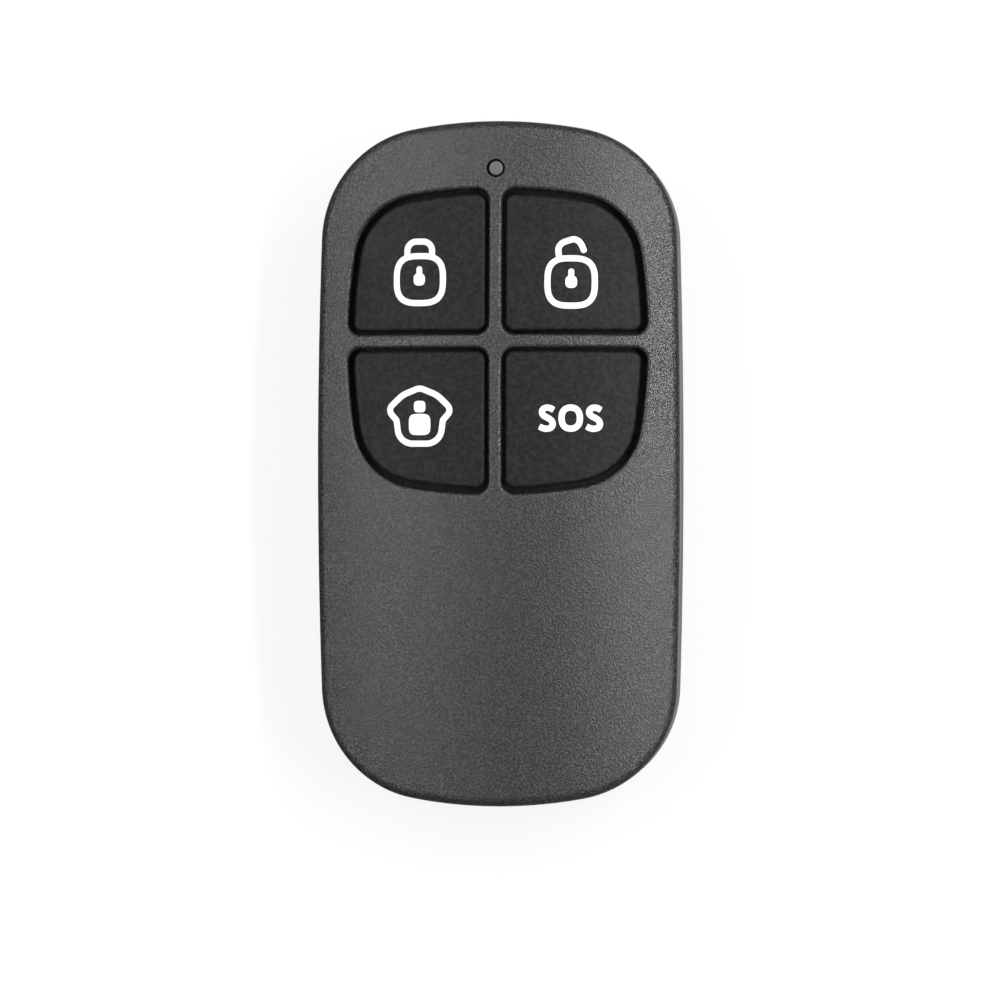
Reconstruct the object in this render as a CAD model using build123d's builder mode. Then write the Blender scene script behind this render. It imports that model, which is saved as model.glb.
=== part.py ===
from build123d import *
import math
import os

# Alarm key fob, lying on its back. +Z is up towards the keys, +Y points to the light's end
# and the origin is the centre of the flat back. All sizes are in millimetres.

# Case
LENGTH = 58.0
WIDTH = 30.9
THICKNESS = 10.5
END_BULGE = 3.0
SIDE_BULGE = 0.63
CORNER_RADIUS = 9.6
CROWN_SIDE_DROP = 3.1
CROWN_END_DROP = 1.4
FRONT_ROLL = 0.9
BACK_ROLL = 1.8
WALL = 1.4
FLOOR = 1.2
SPLIT_HEIGHT = 5.0
SEAM_GAP = 0.3
TONGUE_HEIGHT = 0.8
TONGUE_THICKNESS = 0.65
SEATED_GAP = 0.05
OVERRUN = 1.0

# Key windows, a square block divided by a cross-shaped web
FIELD_TO_CELL = 0.4
FIELD_MARGIN = 2.7
FIELD_END_BULGE = 1.85
FIELD_SIDE_BULGE = 1.75
FIELD_CORNER_SHARE = 0.226
WEB = 1.1
WINDOW_CORNER_RADIUS = 1.1
INNER_CORNER_RADIUS = 0.3
WINDOW_ROLL = 0.25

# Keys
KEY_GAP = 0.31
RIM_GAP = 0.52
KEY_SUNK = 0.2
KEY_ROLL = 0.28
KEY_TRAVEL = 0.8
KEY_SHELL = 1.1
SKIRT_REACH = 0.2
SKIRT_THICKNESS = 0.5
SKIRT_GAP = 0.2
KEY_BOSS_RADIUS = 1.5
KEY_RIB = 0.7

# Keypad mat, domes and contact pills
MAT = 0.5
MAT_MARGIN = 0.5
DOME_RADIUS = 2.9
DOME_SKIN = 0.4
DOME_TOP_RADIUS = 1.8
DOME_PLATE = 0.25
PILL_RADIUS = 1.2
PILL = 0.5
PILL_CLEARANCE = 0.05

# Circuit board and what it carries
BOARD = 1.0
BOARD_GAP = 0.35
BOARD_EAR = 5.0
BOARD_NOTCH_GAP = 0.3
PAD = 0.05
PAD_RADIUS = 1.9
PAD_SLIT = 0.3
ANTENNA_MARGIN = 2.75
ANTENNA_SHIFT = 1.05
ANTENNA_TRACK = 0.8
ANTENNA_CORNER_RADIUS = 3.6
ANTENNA_BREAK = 1.6
CHIP_LENGTH = 6.2
CHIP_WIDTH = 4.4
CHIP = 1.0
CHIP_STANDOFF = 0.1
LEAD_COUNT = 8
LEAD_PITCH = 0.65
LEAD_WIDTH = 0.28
LEAD_REACH = 0.9
LEAD = 0.15
SAW_SIZE = 3.8
SAW = 1.2
SAW_BEVEL = 0.4
CRYSTAL_LENGTH = 2.5
CRYSTAL_WIDTH = 3.2
CRYSTAL = 0.8
CRYSTAL_BEVEL = 0.15
TRANSISTOR_LENGTH = 1.3
TRANSISTOR_WIDTH = 2.9
TRANSISTOR = 1.0
TRANSISTOR_PITCH = 1.9
TRANSISTOR_LEG = 0.4
SMALL_CHIP_LENGTH = 0.8
SMALL_CHIP_WIDTH = 1.6
SMALL_CHIP = 0.5
SMALL_CHIP_BEVEL = 0.08
LED_LENGTH = 0.8
LED_WIDTH = 1.6
LED_BASE = 0.25
LED_LENS_WIDTH = 1.0
LED_LENS = 0.35

# Places on the board, as shares of the antenna's size from its middle
SAW_SHARE = (-0.3, 0.22)
CRYSTAL_SHARE = (0.27, 0.25)
TRANSISTOR_SHARE = (-0.3, -0.12)
CAPACITOR_SHARES = ((0.2, -0.1), (0.2, -0.24), (0.34, -0.1), (-0.16, -0.33), (-0.32, -0.33), (0.05, 0.36))
RESISTOR_SHARES = ((0.34, -0.24), (0.2, -0.38), (0.34, -0.38), (-0.08, 0.36), (0.34, 0.04), (0.04, -0.36))

# Light pipe
LIGHT_MARGIN = 4.05
LIGHT_TO_FIELD = 1.65
LIGHT_HOLE_RADIUS = 0.78
LIGHT_PIPE_RADIUS = 0.62
LIGHT_PIPE_ROLL = 0.2
LIGHT_SUNK = 0.12
COLLAR_RADIUS = 1.45
COLLAR_LENGTH = 1.2
PIPE_FLANGE_RADIUS = 1.3
PIPE_FLANGE = 0.6
PIPE_GAP = 0.3

# Posts that hold the board, fence beside the mat, and snap tabs at the light's end
POST_RADIUS = 1.1
SPIGOT_RADIUS = 0.55
SPIGOT_LENGTH = 0.5
TOP_POST_SIDE = 5.95
TOP_POST_END = 4.5
EAR_POST_SIDE = 3.25
EAR_POST_REACH = 10.2
FENCE = 0.8
FENCE_LENGTH = 12.0
TAB_X = 5.0
TAB_WIDTH = 3.0
TAB = 0.9
TAB_HEIGHT = 6.7
BARB = 0.45
BARB_HEIGHT = 0.6
TAB_GAP = 0.15

# Coin cell
CELL_MARGIN = 6.0
CELL_RADIUS = 10.0
CELL = 2.5
CELL_CAP_MARGIN = 1.3
CELL_CAP_STEP = 0.12
CELL_SKIN = 0.25
CELL_GASKET = 0.4
CELL_EDGE_ROLL = 0.2

# Battery door in its bayonet
DOOR_TURN = 35.0
DOOR_SUNK = 0.1
DOOR_PLATE = 0.9
DOOR_CUP_GAP = 0.25
DOOR_CUP = 0.55
DOOR_FLANGE_WIDTH = 0.9
DOOR_FLANGE = 0.3
DOOR_GAP = 0.2
DOOR_SEAL = 0.2
CELL_SEAT_GAP = 0.05
LUG_COUNT = 3
LUG_DEPTH = 0.8
LUG_WIDTH = 4.0
LUG = 0.6
LUG_GAP = 0.1
STOP_WIDTH = 0.8
COIN_SLOT_LENGTH = 13.0
COIN_SLOT_WIDTH = 1.8
COIN_SLOT_DEPTH = 0.5
HOUSING_WALL = 0.65
HOUSING_LEDGE = 0.8
MARK_RADIUS = 0.45
MARK_DEPTH = 0.2

# Cell contacts, bent from spring strip
STRIP = 0.2
STRIP_WIDTH = 2.4
STRIP_FOOT = 2.2
STRIP_RISE = 0.45
STRIP_FLAT = 1.2
STRIP_TIP = 1.0
CONTACT_DIRECTION = 37.0
SIDE_CONTACT_WIDTH = 4.0

# Case screws, driven from the back
SCREW_SIDE = 6.05
SCREW_END = 5.2
SCREW_RADIUS = 0.75
SCREW_LENGTH = 5.4
SCREW_HEAD_RADIUS = 1.3
SCREW_HEAD = 0.8
SCREW_HEAD_SUNK = 0.2
SCREW_HEAD_GAP = 0.2
SCREW_POINT = 0.3
SCREW_BOSS_RADIUS = 1.7
SCREW_JOINT_HEIGHT = 4.0
DRIVE_LENGTH = 1.6
DRIVE_WIDTH = 0.4
DRIVE_DEPTH = 0.45

# Lanyard pin across a notch in the back of the far end
NOTCH_WIDTH = 7.0
NOTCH_DEPTH = 3.3
NOTCH_HEIGHT = 3.6
NOTCH_WALL = 1.0
NOTCH_CORNER_RADIUS = 0.8
PIN_RADIUS = 0.6
PIN_HEIGHT = 1.9
PIN_INSET = 1.1
PIN_SOCKET = 1.3


def arc_radius(chord, rise):
    """Radius of the arc over a chord that it rises above by the given height."""
    return ((chord / 2) ** 2 + rise**2) / (2 * rise)


# Main places, worked in from the case's ends and sides
light_y = LENGTH / 2 - LIGHT_MARGIN
cell_y = CELL_RADIUS + CELL_MARGIN - LENGTH / 2
field_top = light_y - LIGHT_TO_FIELD
field_bottom = cell_y + CELL_RADIUS + FIELD_TO_CELL
field_y = (field_top + field_bottom) / 2
field_length = field_top - field_bottom
field_width = WIDTH - 2 * FIELD_MARGIN

# Radii of the crown and of the bowed outlines
crown_across = arc_radius(WIDTH, CROWN_SIDE_DROP)
crown_along = arc_radius(LENGTH, CROWN_END_DROP)
end_radius = arc_radius(WIDTH, END_BULGE)
side_radius = arc_radius(LENGTH, SIDE_BULGE)
field_end_radius = arc_radius(field_width, FIELD_END_BULGE)
field_side_radius = arc_radius(field_length, FIELD_SIDE_BULGE)
field_corner_radius = FIELD_CORNER_SHARE * field_length

CASE = (0, LENGTH, WIDTH, end_radius, side_radius, CORNER_RADIUS)
FIELD = (field_y, field_length, field_width, field_end_radius, field_side_radius, field_corner_radius)
KEYS = {"arm": (-1, 1), "disarm": (1, 1), "home": (-1, -1), "sos": (1, -1)}


def crown_height(across, along, lowered=0):
    """Height of the lowered crown at a place across and along the case."""
    ring = crown_along - crown_across
    reach = ring + math.sqrt((crown_across - lowered) ** 2 - across**2)
    return THICKNESS - crown_along + math.sqrt(reach**2 - along**2)


def bulged_plan(height, centre_y, length, width, end_arc, side_arc, corner_radius, inset=0):
    """Rounded outline with bowed ends and sides, drawn in by inset, on a level plane."""
    with BuildSketch(Plane.XY.offset(height)) as plan:
        with Locations((0, centre_y + length / 2 - end_arc)):
            Circle(end_arc - inset)
        with Locations((0, centre_y + end_arc - length / 2)):
            Circle(end_arc - inset, mode=Mode.INTERSECT)
        with Locations((width / 2 - side_arc, centre_y)):
            Circle(side_arc - inset, mode=Mode.INTERSECT)
        with Locations((side_arc - width / 2, centre_y)):
            Circle(side_arc - inset, mode=Mode.INTERSECT)
        fillet(plan.vertices(), corner_radius - inset)
    return plan.sketch


def key_plan(height, column, row, inset=0, rim_inset=0):
    """One key window, drawn in by inset at the webs and by rim_inset at the field's rim."""
    field = bulged_plan(height, *FIELD, inset=rim_inset)
    side = {-1: Align.MAX, 1: Align.MIN}
    corner = (column * (WEB / 2 + inset), field_y + row * (WEB / 2 + inset))
    with BuildSketch(Plane.XY.offset(height)) as plan:
        add(field)
        with Locations(corner):
            Rectangle(field_width, field_length, align=(side[column], side[row]), mode=Mode.INTERSECT)
        sharp = [
            vertex
            for vertex in plan.vertices()
            if min(abs(vertex.X - corner[0]), abs(vertex.Y - corner[1])) < SEATED_GAP
        ]
        fillet(sharp, max(WINDOW_CORNER_RADIUS - inset, INNER_CORNER_RADIUS))
    return plan.sketch


def discs(height, places, radius):
    """Circles at the given places, on a level plane."""
    with BuildSketch(Plane.XY.offset(height)) as plan:
        with Locations(*places):
            Circle(radius)
    return plan.sketch


def boxes(height, places, width, length):
    """Rectangles at the given places, on a level plane."""
    with BuildSketch(Plane.XY.offset(height)) as plan:
        with Locations(*places):
            Rectangle(width, length)
    return plan.sketch


def lug_plan(height, turn, reach, width):
    """Bayonet lugs round the cell, or their notches, turned from the locked place."""
    with BuildSketch(Plane.XY.offset(height)) as plan:
        with Locations((0, cell_y)):
            with PolarLocations(cup_radius, LUG_COUNT, start_angle=90 + turn):
                Rectangle(2 * DOOR_FLANGE_WIDTH, width)
            Circle(reach, mode=Mode.INTERSECT)
            Circle(cup_radius - DOOR_CUP / 2, mode=Mode.SUBTRACT)
    return plan.sketch


def under_crown(lowered):
    """Solid below the case's crown, lowered by the same amount all over."""
    pivot = Vector(0, 0, THICKNESS - crown_along)
    reach = math.asin(LENGTH / crown_along)
    start = Plane(origin=pivot, x_dir=(1, 0, 0), z_dir=(0, -math.cos(reach), -math.sin(reach)))
    with BuildPart() as solid:
        with BuildSketch(start):
            with Locations((0, crown_along - crown_across)):
                Circle(crown_across - lowered)
            with Locations((0, crown_along)):
                Rectangle(2 * crown_across, 4 * THICKNESS, mode=Mode.INTERSECT)
        revolve(axis=Axis(pivot, (-1, 0, 0)), revolution_arc=2 * math.degrees(reach))
    return solid.part


def crowned(plan, lowered=0):
    """Upright solid on a plan, topped by the lowered crown."""
    with BuildPart() as block:
        add(plan)
        extrude(amount=THICKNESS)
        add(under_crown(lowered), mode=Mode.INTERSECT)
    return block.part


def prism(plan, height):
    """Upright solid on a plan."""
    with BuildPart() as block:
        add(plan)
        extrude(amount=height)
    return block.part


# Heights of the stack, worked down from the underside of the crown to the board
key_base = crown_height(field_width / 2 + SKIRT_REACH, field_y + field_length / 4, WALL)
key_base -= SKIRT_GAP + SKIRT_THICKNESS
pill_height = key_base - DOME_PLATE - PILL
board_top = pill_height - KEY_TRAVEL - PILL_CLEARANCE - PAD
board_height = board_top - BOARD
mat_top = board_top + MAT
strip_top = board_top + STRIP + STRIP_RISE

# Heights of the battery bay, worked up from the door
flange_top = DOOR_SUNK + DOOR_FLANGE
ledge_height = flange_top + DOOR_SEAL + SEATED_GAP
lug_height = FLOOR + LUG_GAP
housing_height = lug_height + LUG + LUG_GAP
housing_top = housing_height + HOUSING_LEDGE
cell_height = DOOR_SUNK + DOOR_PLATE + CELL_SEAT_GAP
cell_top = cell_height + CELL

# Radii of the battery bay, worked outwards from the cell
cell_cap_radius = CELL_RADIUS - CELL_CAP_MARGIN
cup_inner_radius = CELL_RADIUS + DOOR_CUP_GAP
cup_radius = cup_inner_radius + DOOR_CUP
flange_radius = cup_radius + DOOR_FLANGE_WIDTH
lug_radius = cup_radius + LUG_DEPTH
bay_radius = flange_radius + DOOR_GAP
housing_radius = bay_radius + HOUSING_WALL
stop_turn = math.degrees((LUG_WIDTH / 2 + DOOR_GAP + STOP_WIDTH / 2) / cup_radius)

# Places on the plan
cell_place = [(0, cell_y)]
light_place = [(0, light_y)]
top_post = (WIDTH / 2 - TOP_POST_SIDE, LENGTH / 2 - TOP_POST_END)
ear_post = (WIDTH / 2 - EAR_POST_SIDE, cell_y + EAR_POST_REACH)
post_places = [(sign * x, y) for x, y in (top_post, ear_post) for sign in (-1, 1)]
screw_places = [(sign * (WIDTH / 2 - SCREW_SIDE), SCREW_END - LENGTH / 2) for sign in (-1, 1)]
antenna_width = WIDTH - 2 * ANTENNA_MARGIN
antenna_length = field_length - 2 * ANTENNA_MARGIN
antenna_y = field_y + ANTENNA_SHIFT
key_x = (field_width + WEB) / 4
key_y = (field_length + WEB) / 4
key_places = {name: (column * key_x, field_y + row * key_y) for name, (column, row) in KEYS.items()}
tab_wall_y = LENGTH / 2 - end_radius + math.sqrt((end_radius - WALL) ** 2 - (TAB_X + TAB_WIDTH / 2) ** 2)
tab_y = tab_wall_y - TAB_GAP - TAB / 2
fence_y = field_y - field_length / 2 - MAT_MARGIN - SEATED_GAP - FENCE / 2
notch_wall_y = NOTCH_DEPTH - LENGTH / 2
pin_y = PIN_INSET - LENGTH / 2
light_height = crown_height(0, light_y)
collar_height = light_height - WALL - COLLAR_LENGTH
mark_reach = bay_radius + 2 * MARK_RADIUS


# Front cover: crowned shell with four windows, a light hole, posts, ribs and screw bosses
with BuildPart() as front_cover:
    add(crowned(bulged_plan(SPLIT_HEIGHT, *CASE)))
    fillet(front_cover.faces().sort_by(Axis.Z)[-1].edges(), FRONT_ROLL)
    add(crowned(bulged_plan(SPLIT_HEIGHT, *CASE, inset=WALL), WALL), mode=Mode.SUBTRACT)
    # Rebate for the tongue, and the shadow gap round the outside of the joint
    rebate = bulged_plan(SPLIT_HEIGHT, *CASE, inset=WALL - TONGUE_THICKNESS - SEATED_GAP)
    add(prism(rebate, TONGUE_HEIGHT + SEATED_GAP), mode=Mode.SUBTRACT)
    with BuildSketch(Plane.XY.offset(SPLIT_HEIGHT)):
        Rectangle(WIDTH + OVERRUN, LENGTH + OVERRUN)
        add(bulged_plan(0, *CASE, inset=SEAM_GAP), mode=Mode.SUBTRACT)
    extrude(amount=SEAM_GAP, mode=Mode.SUBTRACT)
    # Posts, screw bosses, light collar and mat fence hang from the underside of the crown
    add(crowned(discs(board_top, post_places, POST_RADIUS), WALL / 2))
    add(crowned(discs(SCREW_JOINT_HEIGHT, screw_places, SCREW_BOSS_RADIUS), WALL / 2))
    add(crowned(discs(collar_height, light_place, COLLAR_RADIUS), WALL / 2))
    add(crowned(boxes(board_top + MAT / 2, [(0, fence_y)], FENCE_LENGTH, FENCE), WALL / 2))
    # Crossed ribs that back the spring over the cell
    add(crowned(boxes(strip_top + SEATED_GAP, cell_place, FENCE, CELL_RADIUS), WALL / 2))
    add(crowned(boxes(strip_top + SEATED_GAP, cell_place, CELL_RADIUS, FENCE), WALL / 2))
    # Spigot holes, screw holes and the pockets that the snap tabs catch in
    spigot_holes = discs(board_top, post_places, SPIGOT_RADIUS + SEATED_GAP)
    add(prism(spigot_holes, SPIGOT_LENGTH + SEATED_GAP), mode=Mode.SUBTRACT)
    screw_holes = discs(SCREW_JOINT_HEIGHT, screw_places, SCREW_RADIUS)
    screw_depth = SCREW_HEAD_SUNK + SCREW_HEAD + SCREW_LENGTH + SCREW_POINT - SCREW_JOINT_HEIGHT
    add(prism(screw_holes, screw_depth), mode=Mode.SUBTRACT)
    pocket_depth = TAB_GAP + BARB + SEATED_GAP
    pocket_places = [(sign * TAB_X, tab_wall_y - TAB_GAP + pocket_depth / 2) for sign in (-1, 1)]
    pockets = boxes(TAB_HEIGHT - BARB_HEIGHT - SEATED_GAP, pocket_places, TAB_WIDTH + TAB_GAP, pocket_depth)
    add(prism(pockets, BARB_HEIGHT + 2 * SEATED_GAP), mode=Mode.SUBTRACT)
    light_hole = discs(collar_height, light_place, LIGHT_HOLE_RADIUS)
    add(prism(light_hole, THICKNESS), mode=Mode.SUBTRACT)
    # Two key windows with rounded mouths in the right half, which is then mirrored
    split(bisect_by=Plane.YZ)
    with BuildSketch(Plane.XY.offset(board_top)):
        add(key_plan(0, 1, 1))
        add(key_plan(0, 1, -1))
    extrude(amount=THICKNESS, mode=Mode.SUBTRACT)
    face = front_cover.faces().filter_by(GeomType.TORUS).sort_by(Axis.Z)[-1]
    mouths = [wire for wire in face.inner_wires() if len(wire.edges()) > 1]
    fillet([edge for wire in mouths for edge in wire.edges()], WINDOW_ROLL)
    mirror(about=Plane.YZ)

# Rear cover: tray with the bayonet housing, posts, snap tabs, screw seats and lanyard notch
with BuildPart() as rear_cover:
    add(prism(bulged_plan(0, *CASE), SPLIT_HEIGHT))
    fillet(rear_cover.faces().sort_by(Axis.Z)[0].edges(), BACK_ROLL)
    add(prism(bulged_plan(FLOOR, *CASE, inset=WALL), SPLIT_HEIGHT), mode=Mode.SUBTRACT)
    with BuildSketch(Plane.XY.offset(SPLIT_HEIGHT)):
        add(bulged_plan(0, *CASE, inset=WALL - TONGUE_THICKNESS))
        add(bulged_plan(0, *CASE, inset=WALL), mode=Mode.SUBTRACT)
    extrude(amount=TONGUE_HEIGHT)
    # Posts with spigots for the board, screw bosses and snap tabs
    add(prism(discs(FLOOR, post_places, POST_RADIUS), board_height - FLOOR))
    add(prism(discs(board_height, post_places, SPIGOT_RADIUS), BOARD + SPIGOT_LENGTH))
    add(prism(discs(FLOOR, screw_places, SCREW_BOSS_RADIUS), SCREW_JOINT_HEIGHT - FLOOR))
    tab_places = [(sign * TAB_X, tab_y) for sign in (-1, 1)]
    barb_places = [(sign * TAB_X, tab_y + TAB / 2) for sign in (-1, 1)]
    add(prism(boxes(FLOOR, tab_places, TAB_WIDTH, TAB), TAB_HEIGHT - FLOOR))
    add(prism(boxes(TAB_HEIGHT - BARB_HEIGHT, barb_places, TAB_WIDTH, 2 * BARB), BARB_HEIGHT))
    # Housing of the bayonet, hollowed for the flange, the lugs and the cell
    add(prism(discs(FLOOR, cell_place, housing_radius), housing_top - FLOOR))
    # Walls round the notch
    with BuildSketch(Plane.XY.offset(FLOOR)):
        with Locations((0, notch_wall_y + NOTCH_WALL)):
            wall_width = NOTCH_WIDTH + 2 * (PIN_SOCKET + NOTCH_WALL)
            Rectangle(wall_width, LENGTH, align=(Align.CENTER, Align.MAX))
        add(bulged_plan(0, *CASE, inset=WALL / 2), mode=Mode.INTERSECT)
    extrude(amount=NOTCH_HEIGHT + NOTCH_WALL - FLOOR)
    add(prism(discs(0, cell_place, bay_radius), ledge_height), mode=Mode.SUBTRACT)
    add(prism(discs(FLOOR, cell_place, bay_radius), housing_height - FLOOR), mode=Mode.SUBTRACT)
    add(prism(discs(0, cell_place, cup_radius + DOOR_GAP), housing_height), mode=Mode.SUBTRACT)
    add(prism(discs(0, cell_place, cup_inner_radius), SPLIT_HEIGHT), mode=Mode.SUBTRACT)
    notches = lug_plan(0, -DOOR_TURN, lug_radius + DOOR_GAP / 2, LUG_WIDTH + 2 * DOOR_GAP)
    add(prism(notches, housing_height), mode=Mode.SUBTRACT)
    stops = lug_plan(FLOOR, stop_turn, bay_radius + HOUSING_WALL / 2, STOP_WIDTH)
    stop_ring = discs(FLOOR, cell_place, cup_radius + DOOR_GAP)
    with BuildSketch(Plane.XY.offset(FLOOR)):
        add(stops)
        add(stop_ring, mode=Mode.SUBTRACT)
    extrude(amount=housing_height - FLOOR)
    # Screw recesses, and the notch with sockets for its pin
    recesses = discs(0, screw_places, SCREW_HEAD_RADIUS + SCREW_HEAD_GAP)
    add(prism(recesses, SCREW_HEAD_SUNK + SCREW_HEAD), mode=Mode.SUBTRACT)
    add(prism(discs(0, screw_places, SCREW_RADIUS + SCREW_HEAD_GAP), SPLIT_HEIGHT), mode=Mode.SUBTRACT)
    with BuildSketch() as notch:
        with Locations((0, notch_wall_y)):
            Rectangle(NOTCH_WIDTH, LENGTH, align=(Align.CENTER, Align.MAX))
        fillet(notch.vertices().group_by(Axis.Y)[-1], NOTCH_CORNER_RADIUS)
    extrude(amount=NOTCH_HEIGHT, mode=Mode.SUBTRACT)
    with Locations((0, pin_y, PIN_HEIGHT)):
        Cylinder(PIN_RADIUS, NOTCH_WIDTH + 2 * PIN_SOCKET, rotation=(0, 90, 0), mode=Mode.SUBTRACT)
    # Dimples that mark locked and open beside the door
    with BuildSketch():
        with Locations((0, cell_y)):
            for turn in (0, DOOR_TURN):
                with PolarLocations(mark_reach, 1, start_angle=90 - turn):
                    Circle(MARK_RADIUS)
    extrude(amount=MARK_DEPTH, mode=Mode.SUBTRACT)

# Battery door: sunk plate with a cup for the cell, three bayonet lugs and a coin slot
with BuildPart() as battery_door:
    add(prism(discs(DOOR_SUNK, cell_place, flange_radius), DOOR_FLANGE))
    add(prism(discs(DOOR_SUNK, cell_place, cup_radius), lug_height + LUG - DOOR_SUNK))
    cup = discs(DOOR_SUNK + DOOR_PLATE, cell_place, cup_inner_radius)
    add(prism(cup, SPLIT_HEIGHT), mode=Mode.SUBTRACT)
    add(prism(lug_plan(lug_height, 0, lug_radius, LUG_WIDTH), LUG))
    with BuildSketch(Plane.XY.offset(DOOR_SUNK)):
        with Locations((0, cell_y)):
            SlotOverall(COIN_SLOT_LENGTH, COIN_SLOT_WIDTH)
            with Locations((0, cup_radius - MARK_RADIUS)):
                Circle(MARK_RADIUS)
    extrude(amount=COIN_SLOT_DEPTH, mode=Mode.SUBTRACT)

with BuildPart() as door_seal:
    with BuildSketch(Plane.XY.offset(flange_top)):
        add(discs(0, cell_place, lug_radius))
        add(discs(0, cell_place, cup_radius), mode=Mode.SUBTRACT)
    extrude(amount=DOOR_SEAL)

# Steel pin across the notch
with BuildPart() as lanyard_pin:
    with Locations((0, pin_y, PIN_HEIGHT)):
        Cylinder(PIN_RADIUS, NOTCH_WIDTH + 2 * PIN_SOCKET, rotation=(0, 90, 0))

# Two thread-forming screws with crossed drive recesses
with BuildPart() as case_screws:
    add(prism(discs(SCREW_HEAD_SUNK, screw_places, SCREW_HEAD_RADIUS), SCREW_HEAD))
    add(prism(discs(SCREW_HEAD_SUNK, screw_places, SCREW_RADIUS), SCREW_HEAD + SCREW_LENGTH))
    chamfer(case_screws.faces().group_by(Axis.Z)[-1].edges(), SCREW_POINT)
    drive = boxes(SCREW_HEAD_SUNK, screw_places, DRIVE_LENGTH, DRIVE_WIDTH)
    drive_across = boxes(SCREW_HEAD_SUNK, screw_places, DRIVE_WIDTH, DRIVE_LENGTH)
    add(prism(drive, DRIVE_DEPTH), mode=Mode.SUBTRACT)
    add(prism(drive_across, DRIVE_DEPTH), mode=Mode.SUBTRACT)


def key_cap(column, row):
    """Hollow key cap with a skirt that holds it in, a boss over its dome and crossed ribs."""
    middle = [(column * key_x, field_y + row * key_y)]
    rib_width = 2 * (key_x - KEY_SHELL) - WEB
    rib_length = 2 * (key_y - KEY_SHELL) - WEB
    rib_height = key_base + SKIRT_THICKNESS
    with BuildPart() as cap:
        add(crowned(key_plan(key_base, column, row, KEY_GAP, RIM_GAP), KEY_SUNK))
        fillet(cap.faces().sort_by(Axis.Z)[-1].edges(), KEY_ROLL)
        add(crowned(key_plan(key_base, column, row, -SKIRT_REACH, -SKIRT_REACH), WALL + SKIRT_GAP))
        hollow = key_plan(key_base, column, row, KEY_GAP + KEY_SHELL, RIM_GAP + KEY_SHELL)
        add(crowned(hollow, KEY_SUNK + KEY_SHELL), mode=Mode.SUBTRACT)
        add(crowned(discs(key_base, middle, KEY_BOSS_RADIUS), KEY_SUNK + KEY_SHELL / 2))
        add(crowned(boxes(rib_height, middle, rib_width, KEY_RIB), KEY_SUNK + KEY_SHELL / 2))
        add(crowned(boxes(rib_height, middle, KEY_RIB, rib_length), KEY_SUNK + KEY_SHELL / 2))
    return cap


def collapsing_dome(place):
    """Silicone dome, open below, with a plate on top that carries the pill."""
    with BuildPart() as dome:
        with BuildSketch(Plane.XZ.offset(-place[1])):
            with BuildLine():
                Polyline(
                    (place[0], key_base),
                    (place[0] + DOME_TOP_RADIUS, key_base),
                    (place[0] + DOME_TOP_RADIUS, key_base - DOME_PLATE),
                    (place[0] + DOME_RADIUS, mat_top),
                    (place[0] + DOME_RADIUS - DOME_SKIN, mat_top),
                    (place[0] + DOME_TOP_RADIUS - DOME_SKIN, key_base - DOME_PLATE),
                    (place[0], key_base - DOME_PLATE),
                    close=True,
                )
            make_face()
        revolve(axis=Axis((*place, 0), (0, 0, 1)))
    return dome


# Silicone mat on the board, open under each dome
with BuildPart() as keypad_mat:
    with BuildSketch(Plane.XY.offset(board_top)):
        add(bulged_plan(0, *FIELD, inset=-MAT_MARGIN))
        add(discs(0, key_places.values(), DOME_RADIUS - DOME_SKIN), mode=Mode.SUBTRACT)
    extrude(amount=MAT)

# Circuit board, notched for the tabs and hollowed round the cell
with BuildPart() as circuit_board:
    with BuildSketch(Plane.XY.offset(board_height)):
        add(bulged_plan(0, *CASE, inset=WALL + BOARD_GAP))
        with Locations((0, cell_y + BOARD_EAR)):
            Rectangle(WIDTH, LENGTH, align=(Align.CENTER, Align.MIN), mode=Mode.INTERSECT)
        add(discs(0, cell_place, CELL_RADIUS + BOARD_GAP + STRIP), mode=Mode.SUBTRACT)
        add(discs(0, post_places, SPIGOT_RADIUS + SEATED_GAP), mode=Mode.SUBTRACT)
        with Locations(*[(x, y - TAB / 2 - BOARD_NOTCH_GAP) for x, y in tab_places]):
            notch_width = TAB_WIDTH + 2 * BOARD_NOTCH_GAP
            Rectangle(notch_width, LENGTH, align=(Align.CENTER, Align.MIN), mode=Mode.SUBTRACT)
    extrude(amount=BOARD)

# Gold pads under each pill, split in two by a meandering slit
with BuildPart() as contact_pads:
    with BuildSketch(Plane.XY.offset(board_top)):
        add(discs(0, key_places.values(), PAD_RADIUS))
        with Locations(*key_places.values()):
            Rectangle(PAD_RADIUS + PAD_SLIT, PAD_SLIT, mode=Mode.SUBTRACT)
            for sign in (-1, 1):
                with Locations((sign * PAD_RADIUS, sign * PAD_RADIUS / 2)):
                    Rectangle(3 * PAD_RADIUS, PAD_SLIT, mode=Mode.SUBTRACT)
                with Locations((-sign * PAD_RADIUS / 2, sign * PAD_RADIUS / 4)):
                    Rectangle(PAD_SLIT, PAD_RADIUS / 2 + PAD_SLIT, mode=Mode.SUBTRACT)
    extrude(amount=PAD)

# Loop antenna on the underside of the board
with BuildPart() as antenna_loop:
    with BuildSketch(Plane.XY.offset(board_height - PAD)):
        with Locations((0, antenna_y)):
            RectangleRounded(antenna_width, antenna_length, ANTENNA_CORNER_RADIUS)
            inner_width = antenna_width - 2 * ANTENNA_TRACK
            inner_length = antenna_length - 2 * ANTENNA_TRACK
            inner_radius = ANTENNA_CORNER_RADIUS - ANTENNA_TRACK
            RectangleRounded(inner_width, inner_length, inner_radius, mode=Mode.SUBTRACT)
        with Locations((0, antenna_y - antenna_length / 2)):
            Rectangle(ANTENNA_BREAK, 2 * ANTENNA_BREAK, mode=Mode.SUBTRACT)
    extrude(amount=PAD)


def on_board(share):
    """Place under the board, from a share of the antenna's size."""
    return (share[0] * antenna_width, antenna_y + share[1] * antenna_length)


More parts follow.
